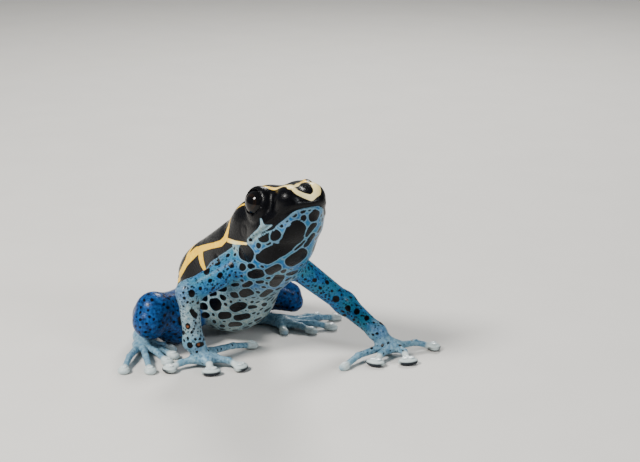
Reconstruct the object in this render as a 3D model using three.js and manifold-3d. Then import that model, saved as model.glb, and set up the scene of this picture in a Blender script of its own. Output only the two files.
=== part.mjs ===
// A blue poison dart frog, life size, sitting with its chest and head raised and its four feet on the floor.
// Millimetres, +Z up, +X the way the body faces, +Y its left side, floor at Z = 0.
// Smooth distance fields describe the flesh. Each part of the body is a closed skin of rings, cast from
// its bone out to its field, and parts that meet are cut by planes or by their neighbour's grown skin,
// so a gap is left.
import * as THREE from 'three';
import { mergeVertices } from 'three/addons/utils/BufferGeometryUtils.js';
import Module from 'manifold-3d';

const wasm = await Module();
wasm.setup();

// Driving dimensions, in millimetres
const SNOUT_TO_VENT = 50;
const GAP = 0.3; // between two parts of the body
const HEAD_PITCH = 30; // degrees that the snout points above level
const EYE_RADIUS = 2.4;
const MOUTH_WIDTH = 24; // of the cut that parts the jaws

// Rings along each bone and points round a ring
const MESH = {
  grown: { rings: 26, sectors: 36 },
  torso: { rings: 19, sectors: 32 },
  head: { rings: 14, sectors: 36 },
  arm: { rings: 8, sectors: 14 },
  hand: { rings: 4, sectors: 16 },
  thigh: { rings: 7, sectors: 16 },
  shank: { rings: 7, sectors: 14 },
  tarsus: { rings: 7, sectors: 12 },
  foot: { rings: 4, sectors: 18 },
  digit: { rings: 9, sectors: 8, domes: 3, crowd: 1.5 },
};

// The pose below is written for a frog of 50 mm and scales with the body
const UNIT = SNOUT_TO_VENT / 50;
const at = (x, y, z) => new THREE.Vector3(x, y, z).multiplyScalar(UNIT);
const SIDES = { left: 1, right: -1 };

// Skins of the animal
const skin = (color, roughness = 0.35) => new THREE.MeshStandardMaterial({ color, roughness, metalness: 0 });
const BACK = skin('#101216', 0.25);
const BELLY = skin('#4f9fb8');
const BLUE = skin('#2f86c4');
const FOOT = skin('#7fb4cc');
const IRIS = skin('#07080a', 0.08);

// Fields: each returns the distance from a point to a surface, negative inside it

const cone = (a, b, ra, rb) => {
  const axis = b.clone().sub(a);
  const length2 = axis.lengthSq();
  const q = new THREE.Vector3();
  return (p) => {
    const t = THREE.MathUtils.clamp(q.copy(p).sub(a).dot(axis) / length2, 0, 1);
    return q.addScaledVector(axis, -t).length() - THREE.MathUtils.lerp(ra, rb, t) * UNIT;
  };
};

const ellipsoid = (centre, radii, turn = new THREE.Quaternion()) => {
  const back = turn.clone().invert();
  const r = at(...radii);
  const q = new THREE.Vector3();
  return (p) => {
    const near = q.copy(p).sub(centre).applyQuaternion(back).divide(r).length();
    const slope = q.divide(r).length();
    return slope < 1e-6 ? -Math.min(r.x, r.y, r.z) : (near * (near - 1)) / slope;
  };
};

const smoothMin = (a, b, k) => {
  const h = Math.max(k - Math.abs(a - b), 0) / k;
  return Math.min(a, b) - (h * h * k) / 4;
};
const blend = (fields, k) => (p) => fields.reduce((d, field) => smoothMin(d, field(p), k * UNIT), 1e3);
const grow = (field, by) => (p) => field(p) - by;
const aboveFloor = (field) => (p) => Math.max(field(p), -p.z);

// Bones through a list of joints, each [point, radius of the flesh]
const limb = (joints, k = 1) =>
  blend(joints.slice(1).map(([b, rb], i) => cone(joints[i][0], b, joints[i][1], rb)), k);

// Rings

// Where a ray from inside a field leaves it: it steps out until it is outside, and then halves the last step
const REACH = 30;
const HALVINGS = 18;
const cast = (field, origin, direction) => {
  const point = (t) => origin.clone().addScaledVector(direction, t);
  let inside = 0;
  let outside = 0;
  while (outside < REACH) {
    const d = field(point(outside));
    if (d > 0) break;
    inside = outside;
    outside += Math.max(-d * 0.7, 0.04);
  }
  for (let i = 0; i < HALVINGS; i += 1) {
    const middle = (inside + outside) / 2;
    if (field(point(middle)) > 0) outside = middle;
    else inside = middle;
  }
  return point(inside);
};

// A closed skin round a bone. A round end is a dome of rings that lean more and more along the bone,
// and a cut end is a flat face square to it
const loft = (field, bone, options) => {
  const { rings, sectors, domes = 4, crowd = 1 } = options;
  const { start = 'round', end = 'round', from = 0, to = 1, up = [0, 0, 1] } = options;
  const stations = [];
  let across = bone.getTangentAt(from).cross(new THREE.Vector3(...up));
  const station = (t, lean) => {
    const axis = bone.getTangentAt(t);
    const v = across.addScaledVector(axis, -across.dot(axis)).normalize().clone();
    stations.push({ origin: bone.getPointAt(t), axis, u: v.clone().cross(axis), v, lean });
  };
  const lean = (i) => (i / (domes + 1)) * (Math.PI / 2);
  if (start === 'round') for (let i = domes; i > 0; i -= 1) station(from, -lean(i));
  const share = (i) => 1 - (1 - i / rings) ** crowd;
  for (let i = 0; i <= rings; i += 1) station(THREE.MathUtils.lerp(from, to, share(i)), 0);
  if (end === 'round') for (let i = 1; i <= domes; i += 1) station(to, lean(i));

  const vertices = [];
  const triangles = [];
  stations.forEach(({ origin, axis, u, v, lean }) => {
    for (let s = 0; s < sectors; s += 1) {
      const turn = (s / sectors) * 2 * Math.PI;
      const radial = u.clone().multiplyScalar(Math.cos(turn)).addScaledVector(v, Math.sin(turn));
      const direction = radial.multiplyScalar(Math.cos(lean)).addScaledVector(axis, Math.sin(lean));
      vertices.push(cast(field, origin, direction));
    }
  });
  const pole = ({ origin, axis }, kind, sign) =>
    (kind === 'cut' ? origin.clone() : cast(field, origin, axis.clone().multiplyScalar(sign)));
  const first = vertices.push(pole(stations[0], start, -1)) - 1;
  const last = vertices.push(pole(stations.at(-1), end, 1)) - 1;
  for (let s = 0; s < sectors; s += 1) {
    const next = (s + 1) % sectors;
    triangles.push(first, s, next);
    for (let i = 0; i < stations.length - 1; i += 1) {
      const a = i * sectors + s;
      const b = i * sectors + next;
      triangles.push(a, a + sectors, b, b, a + sectors, b + sectors);
    }
    const edge = (stations.length - 1) * sectors;
    triangles.push(last, edge + next, edge + s);
  }
  return solidOf(vertices.flatMap((p) => [p.x, p.y, Math.abs(p.z) < 0.002 ? 0 : p.z]), triangles);
};

const solidOf = (positions, triangles) => {
  const vertProperties = Float32Array.from(positions);
  const triVerts = Uint32Array.from(triangles);
  const solid = new wasm.Manifold(new wasm.Mesh({ numProp: 3, vertProperties, triVerts }));
  return solid.volume() > 0 ? solid : solidOf(positions, flipped(triangles));
};
const flipped = (triangles) => triangles.map((_, i) => triangles[i - (i % 3) + [0, 2, 1][i % 3]]);

const solidOfGeometry = (geometry) => {
  geometry.deleteAttribute('normal');
  geometry.deleteAttribute('uv');
  const merged = mergeVertices(geometry, 1e-4);
  return solidOf([...merged.attributes.position.array], [...merged.index.array]);
};

const largest = (solid) => solid.decompose().sort((a, b) => b.volume() - a.volume())[0];
const cutBy = (solid, cutters) => largest(cutters.reduce((rest, cutter) => rest.subtract(cutter), solid));
const curve = (points) => new THREE.CatmullRomCurve3(points, false, 'centripetal');

// The share of a curve's length at its point number n
const STEPS = 600;
const arcShare = (bone, n) => {
  const lengths = bone.getLengths(STEPS);
  return lengths[Math.round((n / (bone.points.length - 1)) * STEPS)] / lengths[STEPS];
};

const frog = new THREE.Group();
const addPart = (name, solid, material) => {
  const { vertProperties, triVerts } = solid.getMesh();
  const geometry = new THREE.BufferGeometry();
  geometry.setAttribute('position', new THREE.BufferAttribute(vertProperties, 3));
  geometry.setIndex(new THREE.BufferAttribute(triVerts, 1));
  geometry.computeVertexNormals();
  const mesh = new THREE.Mesh(geometry, material);
  mesh.name = name;
  frog.add(mesh);
};

// Head: measured forward, left and up from the tip of the upper lip
const SNOUT_TIP = at(28.2, 0, 32.0);
const pitched = (degrees) =>
  new THREE.Quaternion().setFromAxisAngle(new THREE.Vector3(0, 1, 0), THREE.MathUtils.degToRad(-degrees));
const inHead = (forward, left, up) =>
  at(forward, left, up).applyQuaternion(pitched(HEAD_PITCH)).add(SNOUT_TIP);
const headMass = (centre, radii, tilt = 0) => ellipsoid(inHead(...centre), radii, pitched(HEAD_PITCH + tilt));

const EYE = { back: -7.9, side: 4.8, up: 3.6, gaze: [0.3, 1, 0.12] };
const SOCKET = { side: 3.8, up: 3.3, radius: 3.0 };
const LID = { radius: 2.2, thickness: 0.68, out: 0.65 };
// The eardrums and nostrils are found from a point inside the head, looking outwards
const EARDRUM = { back: -12.9, side: 2, up: 0.2, outwards: [0, 1, 0.1], radius: 1.2, rim: 0.26 };
const NOSTRIL = { back: -1.2, side: 0.5, up: 1.6, outwards: [0.4, 1, 0.7], radius: 0.42 };
const eyeAt = (side) => inHead(EYE.back, EYE.side * side, EYE.up);

const SKULL = [
  [[-12.0, 0, 1.2], [8.4, 6.2, 4.5], 0], // crown
  [[-8.2, 0, 3.2], [5.6, 3.3, 2.8], -8], // forehead
  [[-5.2, 0, 1.5], [5.1, 3.6, 2.4], -4], // snout
  [[-9.5, 0, -0.9], [9.4, 6.5, 2.6], 6], // upper jaw
  [[-10.6, 0, -2.7], [8.7, 5.9, 2.6], 4], // lower jaw
  [[-9.2, 0, -3.0], [5.7, 4.2, 2.4], 10], // chin
  [[-14.0, 0, -4.2], [7.0, 5.9, 4.2], 0], // throat
];
const NOSE = { centre: [-1.8, 2.3, 1.9], radii: [2.3, 2.2, 2.3] }; // each blunt corner of the snout
const TEMPLE = { centre: [-15.4, 2.6, 3.0], radii: [3.7, 3.1, 3.0] }; // the swelling behind each eye
const BROW = { from: [-7.4, 2.6, 4.6], to: [-2.4, 1.8, 3.2], thick: 1.3, thin: 0.9 };
const bothSides = (make) => Object.values(SIDES).map(make);
const onSide = ([forward, left, up], side) => [forward, left * side, up];
const nose = (side) => headMass(onSide(NOSE.centre, side), NOSE.radii);
const temple = (side) => headMass(onSide(TEMPLE.centre, side), TEMPLE.radii);
const brow = (side) =>
  cone(inHead(...onSide(BROW.from, side)), inHead(...onSide(BROW.to, side)), BROW.thick, BROW.thin);
const socket = (side) =>
  ellipsoid(inHead(EYE.back, SOCKET.side * side, SOCKET.up), Array(3).fill(SOCKET.radius));
const paired = [nose, brow, temple].flatMap(bothSides);
const skull = blend([...SKULL.map((m) => headMass(...m)), ...paired], 1.8);
const head = blend([skull, blend(bothSides(socket), 0.5)], 1.4);

// Trunk: masses of flesh, each [centre, half lengths along, across and up, pitch], the paired ones
// off the middle
const MIDDLE = [
  [[-7.0, 0, 8.0], [6.8, 5.6, 5.6], 52], // pelvis
  [[0.4, 0, 8.8], [9.4, 8.0, 7.2], 38], // belly
  [[6.4, 0, 15.0], [9.0, 7.2, 6.8], 42], // ribs
  [[12.6, 0, 18.4], [7.0, 6.3, 5.8], 48], // chest
  [[13.0, 0, 23.6], [6.6, 6.0, 5.0], 32], // nape
];
const PAIRED = [
  [[-4.4, 3.8, 11.8], [7.4, 5.0, 5.2], 50], // rump
  [[1.6, 3.2, 16.4], [8.0, 4.4, 4.8], 36], // small of the back
  [[8.4, 3.2, 20.4], [7.0, 3.9, 4.8], 32], // shoulder blade
];
const mass = ([x, y, z], radii, pitch, side = 1) => ellipsoid(at(x, y * side, z), radii, pitched(pitch));
const trunk = blend([...MIDDLE.map((m) => mass(...m)),
  ...bothSides((side) => PAIRED.map((m) => mass(...m, side))).flat()], 2.4);
const body = blend([trunk, head], 3);

// The spine runs from the vent to the snout, and the head is parted from the trunk behind the jaw
const SPINE = curve([
  at(-8.8, 0, 5.4), at(-3.2, 0, 10.4), at(4.6, 0, 15.0), at(11.6, 0, 21.0),
  inHead(-10.5, 0, 0), inHead(-4.6, 0, 1.1),
]);
const NAPE = 0.72; // share of the spine's length
const halfGap = (bone) => GAP / 2 / bone.getLength();
const bodyGrown = loft(grow(body, GAP), SPINE, { ...MESH.grown, up: [0, 1, 0] });
const behindNape = { end: 'cut', to: NAPE - halfGap(SPINE), up: [0, 1, 0] };
const beforeNape = { start: 'cut', from: NAPE + halfGap(SPINE), up: [0, 1, 0] };
addPart('torso', loft(body, SPINE, { ...MESH.torso, ...behindNape }), BELLY);

// Turns a geometry built round Z to face along an axis
const facing = (geometry, centre, axis) => {
  const turn = new THREE.Quaternion().setFromUnitVectors(new THREE.Vector3(0, 0, 1), axis);
  return solidOfGeometry(geometry.applyQuaternion(turn).translate(...centre));
};
const headAxis = (forward, left, up) => inHead(forward, left, up).sub(SNOUT_TIP).normalize();
const onHead = (from, axis) => cast(body, from, axis);

// The line of the mouth is a thin curved cut. Behind its corner it runs on down the jaw to the nape
const MOUTH = [
  [2, 0], [-2, -0.4], [-5, -1.2], [-8, -1.8], [-11, -2.1], [-13, -2.9], [-15, -4.6], [-17, -7], [-19, -10],
];
const mouthCut = () => {
  const line = new THREE.SplineCurve(MOUTH.map(([f, u]) => new THREE.Vector2(f, u).multiplyScalar(UNIT)));
  const steps = 18;
  const edge = (offset) => Array.from({ length: steps + 1 }, (_, i) => {
    const { x, y } = line.getTangent(i / steps);
    return line.getPoint(i / steps).add(new THREE.Vector2(-y, x).multiplyScalar(offset));
  });
  const shape = new THREE.Shape([...edge(GAP / 2), ...edge(-GAP / 2).reverse()]);
  const width = MOUTH_WIDTH * UNIT;
  const band = new THREE.ExtrudeGeometry(shape, { depth: width, bevelEnabled: false });
  const headFrame = new THREE.Matrix4()
    .makeBasis(headAxis(1, 0, 0), headAxis(0, 0, 1), headAxis(0, -1, 0)).setPosition(SNOUT_TIP);
  return solidOfGeometry(band.translate(0, 0, -width / 2).applyMatrix4(headFrame));
};

const ring = (radius, thickness, round, along) =>
  new THREE.TorusGeometry(radius * UNIT, thickness * UNIT, round, along);

// Skull: lids raised round the eyes, then the sockets, nostrils and the rims of the eardrums sunk in it
const headParts = () => {
  let solid = loft(body, SPINE, { ...MESH.head, ...beforeNape });
  Object.entries(SIDES).forEach(([name, side]) => {
    const centre = eyeAt(side);
    const gaze = headAxis(...onSide(EYE.gaze, side));
    const ball = (radius) => facing(new THREE.SphereGeometry(radius, 20, 12), centre, gaze);
    const rim = centre.clone().addScaledVector(gaze, LID.out * UNIT);
    const lids = facing(ring(LID.radius, LID.thickness, 6, 20), rim, gaze);
    solid = solid.add(lids).subtract(ball(EYE_RADIUS * UNIT + GAP));
    addPart(`${name}_eye`, ball(EYE_RADIUS * UNIT), IRIS);

    const nostrilAxis = headAxis(...onSide(NOSTRIL.outwards, side));
    const nostril = onHead(inHead(NOSTRIL.back, NOSTRIL.side * side, NOSTRIL.up), nostrilAxis);
    const pit = new THREE.SphereGeometry(NOSTRIL.radius * UNIT, 8, 6);
    solid = solid.subtract(facing(pit, nostril, nostrilAxis));
    const earAxis = headAxis(...onSide(EARDRUM.outwards, side));
    const ear = onHead(inHead(EARDRUM.back, EARDRUM.side * side, EARDRUM.up), earAxis);
    solid = solid.subtract(facing(ring(EARDRUM.radius, EARDRUM.rim, 4, 16), ear, earAxis));
  });
  return solid.subtract(mouthCut()).decompose().sort((a, b) => b.volume() - a.volume());
};
const [upperHead, lowerJaw] = headParts();
addPart('head', upperHead, BACK);
addPart('lower_jaw', lowerJaw, BLUE);

// Arms: [point, radius] for each joint, and four digits counted from the thumb
const ARMS = {
  right: {
    shoulder: [at(13.4, -4.2, 18.8), 2.5], elbow: [at(9.9, -14.2, 13.7), 1.95],
    wrist: [at(11.2, -14.0, 4.8), 1.65], palm: at(12.0, -12.2, 1.75),
    fingers: [
      { base: at(10.7, -10.4, 2.1), knuckle: at(9.4, -5.2, 1.8), pad: at(8.0, -0.6, 0.62), width: 1.3 },
      { base: at(13.0, -10.8, 1.6), knuckle: at(15.2, -9.0, 1.5), pad: at(17.2, -7.6, 0.62), width: 1.7 },
      { base: at(13.6, -12.4, 1.6), knuckle: at(15.2, -12.8, 1.5), pad: at(16.6, -13.2, 0.62), width: 1.8 },
      { base: at(11.6, -13.9, 1.5), knuckle: at(11.4, -16.6, 1.3), pad: at(11.6, -19.0, 0.62), width: 1.5 },
    ],
  },
  left: {
    shoulder: [at(14.2, 4.4, 17.6), 2.4], elbow: [at(15.4, 15.0, 8.4), 1.95],
    wrist: [at(22.3, 17.8, 4.4), 1.45], palm: at(23.6, 19.6, 1.9),
    fingers: [
      { base: at(23.4, 17.8, 1.6), knuckle: at(24.6, 12.4, 1.5), pad: at(26.1, 8.6, 0.55), width: 0.85 },
      { base: at(25.0, 18.6, 1.7), knuckle: at(26.0, 16.4, 1.5), pad: at(27.3, 14.4, 0.62), width: 1.8 },
      { base: at(25.2, 20.4, 1.7), knuckle: at(27.4, 20.5, 1.6), pad: at(29.6, 19.9, 0.62), width: 1.9 },
      { base: at(24.0, 21.4, 1.6), knuckle: at(24.2, 25.0, 1.6), pad: at(25.6, 28.2, 0.62), width: 1.5 },
    ],
  },
};

// Legs: the shank is folded back under the thigh, and the long ankle runs forward again to five toes
const LEGS = {
  right: {
    hip: [at(-6.8, -3.6, 6.8), 3.8], thighMid: [at(-1.2, -11.6, 5.2), 4.5], knee: [at(1.5, -17.2, 8.3), 3.5],
    bend: [at(2.0, -18.2, 6.6), 3.3], calf: [at(-5.0, -15.2, 5.2), 2.9], heel: [at(-14.0, -10.8, 1.9), 1.9],
    ankle: [at(-13.2, -11.6, 1.6), 1.6], instep: [at(-4.6, -17.3, 1.5), 1.25], ball: at(-0.8, -18.5, 1.25),
    toes: [
      { base: at(-0.6, -16.8, 1.1), knuckle: at(0.8, -15.4, 1.0), pad: at(2.0, -14.3, 0.45), width: 0.85 },
      { base: at(0.3, -17.4, 1.2), knuckle: at(3.1, -16.5, 1.2), pad: at(5.6, -15.4, 0.5), width: 1.05 },
      { base: at(0.7, -18.3, 1.2), knuckle: at(4.2, -18.1, 1.3), pad: at(7.9, -17.7, 0.5), width: 1.15 },
      { base: at(0.7, -19.2, 1.2), knuckle: at(5.4, -20.8, 1.4), pad: at(10.4, -22.2, 0.5), width: 1.15 },
      { base: at(0.1, -20.1, 1.2), knuckle: at(4.0, -23.4, 1.3), pad: at(7.9, -26.2, 0.5), width: 1.1 },
    ],
  },
  left: {
    hip: [at(-8.0, 3.4, 7.8), 4.0], thighMid: [at(-6.4, 9.0, 6.8), 3.5], knee: [at(-3.7, 13.8, 4.8), 2.4],
    bend: [at(-3.0, 14.2, 3.5), 2.1], calf: [at(-8.6, 11.4, 3.4), 2.4], heel: [at(-15.4, 6.4, 1.9), 1.9],
    ankle: [at(-14.6, 6.6, 1.6), 1.6], instep: [at(-3.6, 6.9, 1.5), 1.25], ball: at(1.0, 10.1, 1.25),
    toes: [
      { base: at(1.8, 9.0, 1.1), knuckle: at(2.9, 8.6, 1.0), pad: at(4.0, 8.4, 0.45), width: 0.85 },
      { base: at(2.5, 10.4, 1.2), knuckle: at(4.6, 11.8, 1.2), pad: at(6.5, 13.0, 0.5), width: 1.05 },
      { base: at(2.4, 11.4, 1.2), knuckle: at(4.8, 14.6, 1.3), pad: at(6.5, 17.4, 0.5), width: 1.15 },
      { base: at(1.7, 12.0, 1.2), knuckle: at(2.4, 16.6, 1.4), pad: at(1.9, 21.1, 0.5), width: 1.15 },
      { base: at(0.9, 12.1, 1.2), knuckle: at(0.6, 15.4, 1.3), pad: at(-0.4, 18.2, 0.5), width: 1.1 },
    ],
  },
};
const DIGIT = { root: 0.7, shaft: 0.56, padLength: 1.25, padHeight: 0.7 };

// A digit tapers to its last joint and ends in a wide flat disc that rests on the floor
const digitField = ({ base, knuckle, pad, width }, root) => {
  const { root: thick, shaft: thin } = DIGIT;
  const shaft = limb([[root, thick], [base, thick], [knuckle, thin], [pad, thin]], 0.4);
  const heading = Math.atan2(pad.y - knuckle.y, pad.x - knuckle.x);
  const yaw = new THREE.Quaternion().setFromAxisAngle(new THREE.Vector3(0, 0, 1), heading);
  const disc = ellipsoid(pad, [DIGIT.padLength, width, DIGIT.padHeight], yaw);
  return aboveFloor(blend([shaft, disc], 0.5));
};

// The digits of one hand or foot, each clear of the palm or sole and of the digit before it
const addDigits = (name, digits, root, palmGrown) => {
  const cutters = [palmGrown];
  digits.forEach((joints, i) => {
    const field = digitField(joints, root);
    const bone = curve([root, joints.base, joints.knuckle, joints.pad]);
    addPart(`${name}_${i + 1}`, cutBy(loft(field, bone, MESH.digit), cutters), FOOT);
    cutters.push(loft(grow(field, GAP), bone, MESH.digit));
  });
};

// An arm is one skin from the shoulder to the palm, parted at the elbow and the wrist
const PALM = { radii: [2.3, 2.3, 1.1], bone: 1.2 };
const addArm = (side, { shoulder, elbow, wrist, palm, fingers }) => {
  const armField = aboveFloor(limb([shoulder, elbow, wrist, [palm, PALM.bone]], 1.5));
  const handField = aboveFloor(blend([armField, ellipsoid(palm, PALM.radii)], 1.2));
  const bone = curve([shoulder[0], elbow[0], wrist[0], palm]);
  const [elbowShare, wristShare] = [arcShare(bone, 1), arcShare(bone, 2)];
  const half = halfGap(bone);
  const upperArm = { ...MESH.arm, end: 'cut', to: elbowShare - half, up: [1, 0, 0] };
  const forearm = { ...MESH.arm, start: 'cut', end: 'cut', from: elbowShare + half, to: wristShare - half };
  const hand = { ...MESH.hand, start: 'cut', from: wristShare + half };
  addPart(`${side}_upper_arm`, cutBy(loft(armField, bone, upperArm), [bodyGrown]), BLUE);
  addPart(`${side}_forearm`, cutBy(loft(armField, bone, forearm), [bodyGrown]), BLUE);
  addPart(`${side}_hand`, loft(handField, bone, hand), FOOT);
  const handGrown = loft(grow(handField, GAP), bone, { ...hand, from: wristShare - half });
  addDigits(`${side}_finger`, fingers, palm, handGrown);
};

// A leg is three skins: the thigh, the shank folded under it, and the long ankle with the sole of the foot
const SOLE = { radii: [2.1, 2.1, 0.95], bone: 1.1 };
const addLeg = (side, { hip, thighMid, knee, bend, calf, heel, ankle, instep, ball, toes }) => {
  const thighField = limb([hip, thighMid, knee], 2);
  const thighBone = curve([hip[0], thighMid[0], knee[0]]);
  addPart(`${side}_thigh`, cutBy(loft(thighField, thighBone, MESH.thigh), [bodyGrown]), BLUE);
  const thighGrown = loft(grow(thighField, GAP), thighBone, MESH.thigh);

  const shankField = aboveFloor(limb([bend, calf, heel], 1.5));
  const shankBone = curve([bend[0], calf[0], heel[0]]);
  addPart(`${side}_shank`, cutBy(loft(shankField, shankBone, MESH.shank), [bodyGrown, thighGrown]), BLUE);
  const shankGrown = loft(grow(shankField, GAP), shankBone, MESH.shank);

  const ankleField = limb([ankle, instep, [ball, SOLE.bone]], 1.2);
  const footField = aboveFloor(blend([ankleField, ellipsoid(ball, SOLE.radii)], 1.2));
  const footBone = curve([ankle[0], instep[0], ball]);
  const joint = arcShare(footBone, 1);
  const half = halfGap(footBone);
  const tarsus = { ...MESH.tarsus, end: 'cut', to: joint - half };
  const foot = { ...MESH.foot, start: 'cut', from: joint + half };
  addPart(`${side}_tarsus`, cutBy(loft(footField, footBone, tarsus), [shankGrown, bodyGrown]), BLUE);
  addPart(`${side}_foot`, cutBy(loft(footField, footBone, foot), [shankGrown]), FOOT);
  const footGrown = loft(grow(footField, GAP), footBone, { ...foot, from: joint - half });
  addDigits(`${side}_toe`, toes, ball, footGrown);
};

Object.keys(SIDES).forEach((side) => {
  addArm(side, ARMS[side]);
  addLeg(side, LEGS[side]);
});

// The origin is on the floor under the middle of the whole frog
const extent = new THREE.Box3().setFromObject(frog, true);
const middle = extent.getCenter(new THREE.Vector3());
frog.position.set(-middle.x, -middle.y, -extent.min.z);

export default frog;
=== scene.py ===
# %% [markdown]
# # A blue poison dart frog, life size
# The real animal is one moist skin over soft flesh: it has no seams, and its colours lie in the skin.
# So the frog is made as one closed skin, and the black spots, the pale net between them and the yellow
# stripes are measured onto that skin as numbers which the material turns into colour. The eyes are pieces
# of their own, and so are the small hard shields on top of the toes.

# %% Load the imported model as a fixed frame
import math
import time

import bpy
import numpy as np
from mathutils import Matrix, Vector


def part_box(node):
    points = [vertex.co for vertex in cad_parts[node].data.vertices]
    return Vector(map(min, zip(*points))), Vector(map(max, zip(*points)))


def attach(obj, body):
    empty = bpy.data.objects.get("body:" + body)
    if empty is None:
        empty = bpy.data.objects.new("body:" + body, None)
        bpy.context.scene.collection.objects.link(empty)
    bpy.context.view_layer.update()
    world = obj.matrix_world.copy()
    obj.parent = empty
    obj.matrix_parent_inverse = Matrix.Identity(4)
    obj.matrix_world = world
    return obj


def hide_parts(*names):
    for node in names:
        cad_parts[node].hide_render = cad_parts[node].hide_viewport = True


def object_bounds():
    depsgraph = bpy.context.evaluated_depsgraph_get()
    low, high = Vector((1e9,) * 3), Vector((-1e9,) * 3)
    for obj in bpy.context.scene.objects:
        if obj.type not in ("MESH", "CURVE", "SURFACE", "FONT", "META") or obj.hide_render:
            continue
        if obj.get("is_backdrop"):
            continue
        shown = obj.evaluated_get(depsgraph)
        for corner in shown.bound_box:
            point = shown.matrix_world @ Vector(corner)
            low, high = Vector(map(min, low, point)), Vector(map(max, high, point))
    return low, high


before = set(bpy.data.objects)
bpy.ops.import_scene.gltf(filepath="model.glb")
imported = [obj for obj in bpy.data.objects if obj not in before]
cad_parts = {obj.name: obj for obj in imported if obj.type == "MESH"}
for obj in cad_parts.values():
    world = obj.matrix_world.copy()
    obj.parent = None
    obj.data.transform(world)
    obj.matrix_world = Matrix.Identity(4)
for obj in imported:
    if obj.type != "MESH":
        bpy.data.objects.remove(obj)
cad_box = [[float(value) for value in corner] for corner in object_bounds()]
started = time.time()


def seconds():
    return f"{time.time() - started:.1f} s"


print("CAD box, metres:", cad_box)

# %% [markdown]
# ## The pose
# Every joint of the body is a point in millimetres, with +X the way the body faces, +Y its left side and
# the floor at Z = 0. The solids of the frame were made from the same points, so the skin fits them.

# %% Directions of the head and of the trunk's masses
SIDES = {"left": 1, "right": -1}
HEAD_PITCH = 30  # degrees that the snout points above level
SNOUT_TIP = np.array([28.2, 0.0, 32.0])


def pitched(degrees):
    """The forward, left and up directions of a mass that is tipped upwards."""
    c, s = math.cos(math.radians(degrees)), math.sin(math.radians(degrees))
    return np.array([[c, 0, s], [0, 1, 0], [-s, 0, c]])


def headed(degrees):
    """The forward, left and up directions of a mass that is turned on the floor."""
    c, s = math.cos(math.radians(degrees)), math.sin(math.radians(degrees))
    return np.array([[c, s, 0], [-s, c, 0], [0, 0, 1]])


HEAD_AXES = pitched(HEAD_PITCH)


def in_head(forward, left, up):
    """A point measured from the tip of the snout."""
    return SNOUT_TIP + np.array([forward, left, up]) @ HEAD_AXES


# %% Head and trunk: centre, half lengths and tilt of each mass
SKULL = [
    [(-12.0, 0, 1.2), (8.4, 6.2, 4.5), 0],  # crown
    [(-8.2, 0, 3.2), (5.6, 3.3, 2.8), -8],  # forehead
    [(-5.2, 0, 1.5), (5.1, 3.6, 2.4), -4],  # snout
    [(-9.5, 0, -0.9), (9.4, 6.5, 2.6), 6],  # upper jaw
    [(-10.6, 0, -2.7), (8.7, 5.9, 2.6), 4],  # lower jaw
    [(-9.2, 0, -3.0), (5.7, 4.2, 2.4), 10],  # chin
    [(-14.0, 0, -4.2), (7.0, 5.9, 4.2), 0],  # throat
]
NOSE = dict(centre=(-1.8, 2.3, 1.9), radii=(2.3, 2.2, 2.3))  # each blunt corner of the snout
TEMPLE = dict(centre=(-15.4, 2.6, 3.0), radii=(3.7, 3.1, 3.0))  # the swelling behind each eye
BROW = dict(start=(-7.4, 2.6, 4.6), end=(-2.4, 1.8, 3.2), thick=1.3, thin=0.9)
EYE = dict(back=-7.9, side=4.8, up=3.6, radius=2.4)
SOCKET = dict(side=3.8, up=3.3, radius=3.0)
MIDDLE = [
    [(-7.0, 0, 8.0), (6.8, 5.6, 5.6), 52],  # pelvis
    [(0.4, 0, 8.8), (9.4, 8.0, 7.2), 38],  # belly
    [(6.4, 0, 15.0), (9.0, 7.2, 6.8), 42],  # ribs
    [(12.6, 0, 18.4), (7.0, 6.3, 5.8), 48],  # chest
    [(13.0, 0, 23.6), (6.6, 6.0, 5.0), 32],  # nape
]
PAIRED = [
    [(-4.4, 3.8, 11.8), (7.4, 5.0, 5.2), 50],  # rump
    [(1.6, 3.2, 16.4), (8.0, 4.4, 4.8), 36],  # small of the back
    [(8.4, 3.2, 20.4), (7.0, 3.9, 4.8), 32],  # shoulder blade
]

# %% Arms and legs: each joint is a point and the radius of the flesh round it
ARMS = {
    "right": dict(
        bones=[
            (13.4, -4.2, 18.8, 2.5), (9.9, -14.2, 13.7, 1.95),
            (11.2, -14.0, 4.8, 1.65), (12.0, -12.2, 1.75, 1.2),
        ],
        digits=[
            [(10.7, -10.4, 2.1), (9.4, -5.2, 1.8), (8.0, -0.6, 0.62), 1.3],
            [(13.0, -10.8, 1.6), (15.2, -9.0, 1.5), (17.2, -7.6, 0.62), 1.7],
            [(13.6, -12.4, 1.6), (15.2, -12.8, 1.5), (16.6, -13.2, 0.62), 1.8],
            [(11.6, -13.9, 1.5), (11.4, -16.6, 1.3), (11.6, -19.0, 0.62), 1.5],
        ],
    ),
    "left": dict(
        bones=[
            (14.2, 4.4, 17.6, 2.4), (15.4, 15.0, 8.4, 1.95),
            (22.3, 17.8, 4.4, 1.45), (23.6, 19.6, 1.9, 1.2),
        ],
        digits=[
            [(23.4, 17.8, 1.6), (24.6, 12.4, 1.5), (26.1, 8.6, 0.55), 0.85],
            [(25.0, 18.6, 1.7), (26.0, 16.4, 1.5), (27.3, 14.4, 0.62), 1.8],
            [(25.2, 20.4, 1.7), (27.4, 20.5, 1.6), (29.6, 19.9, 0.62), 1.9],
            [(24.0, 21.4, 1.6), (24.2, 25.0, 1.6), (25.6, 28.2, 0.62), 1.5],
        ],
    ),
}
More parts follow.
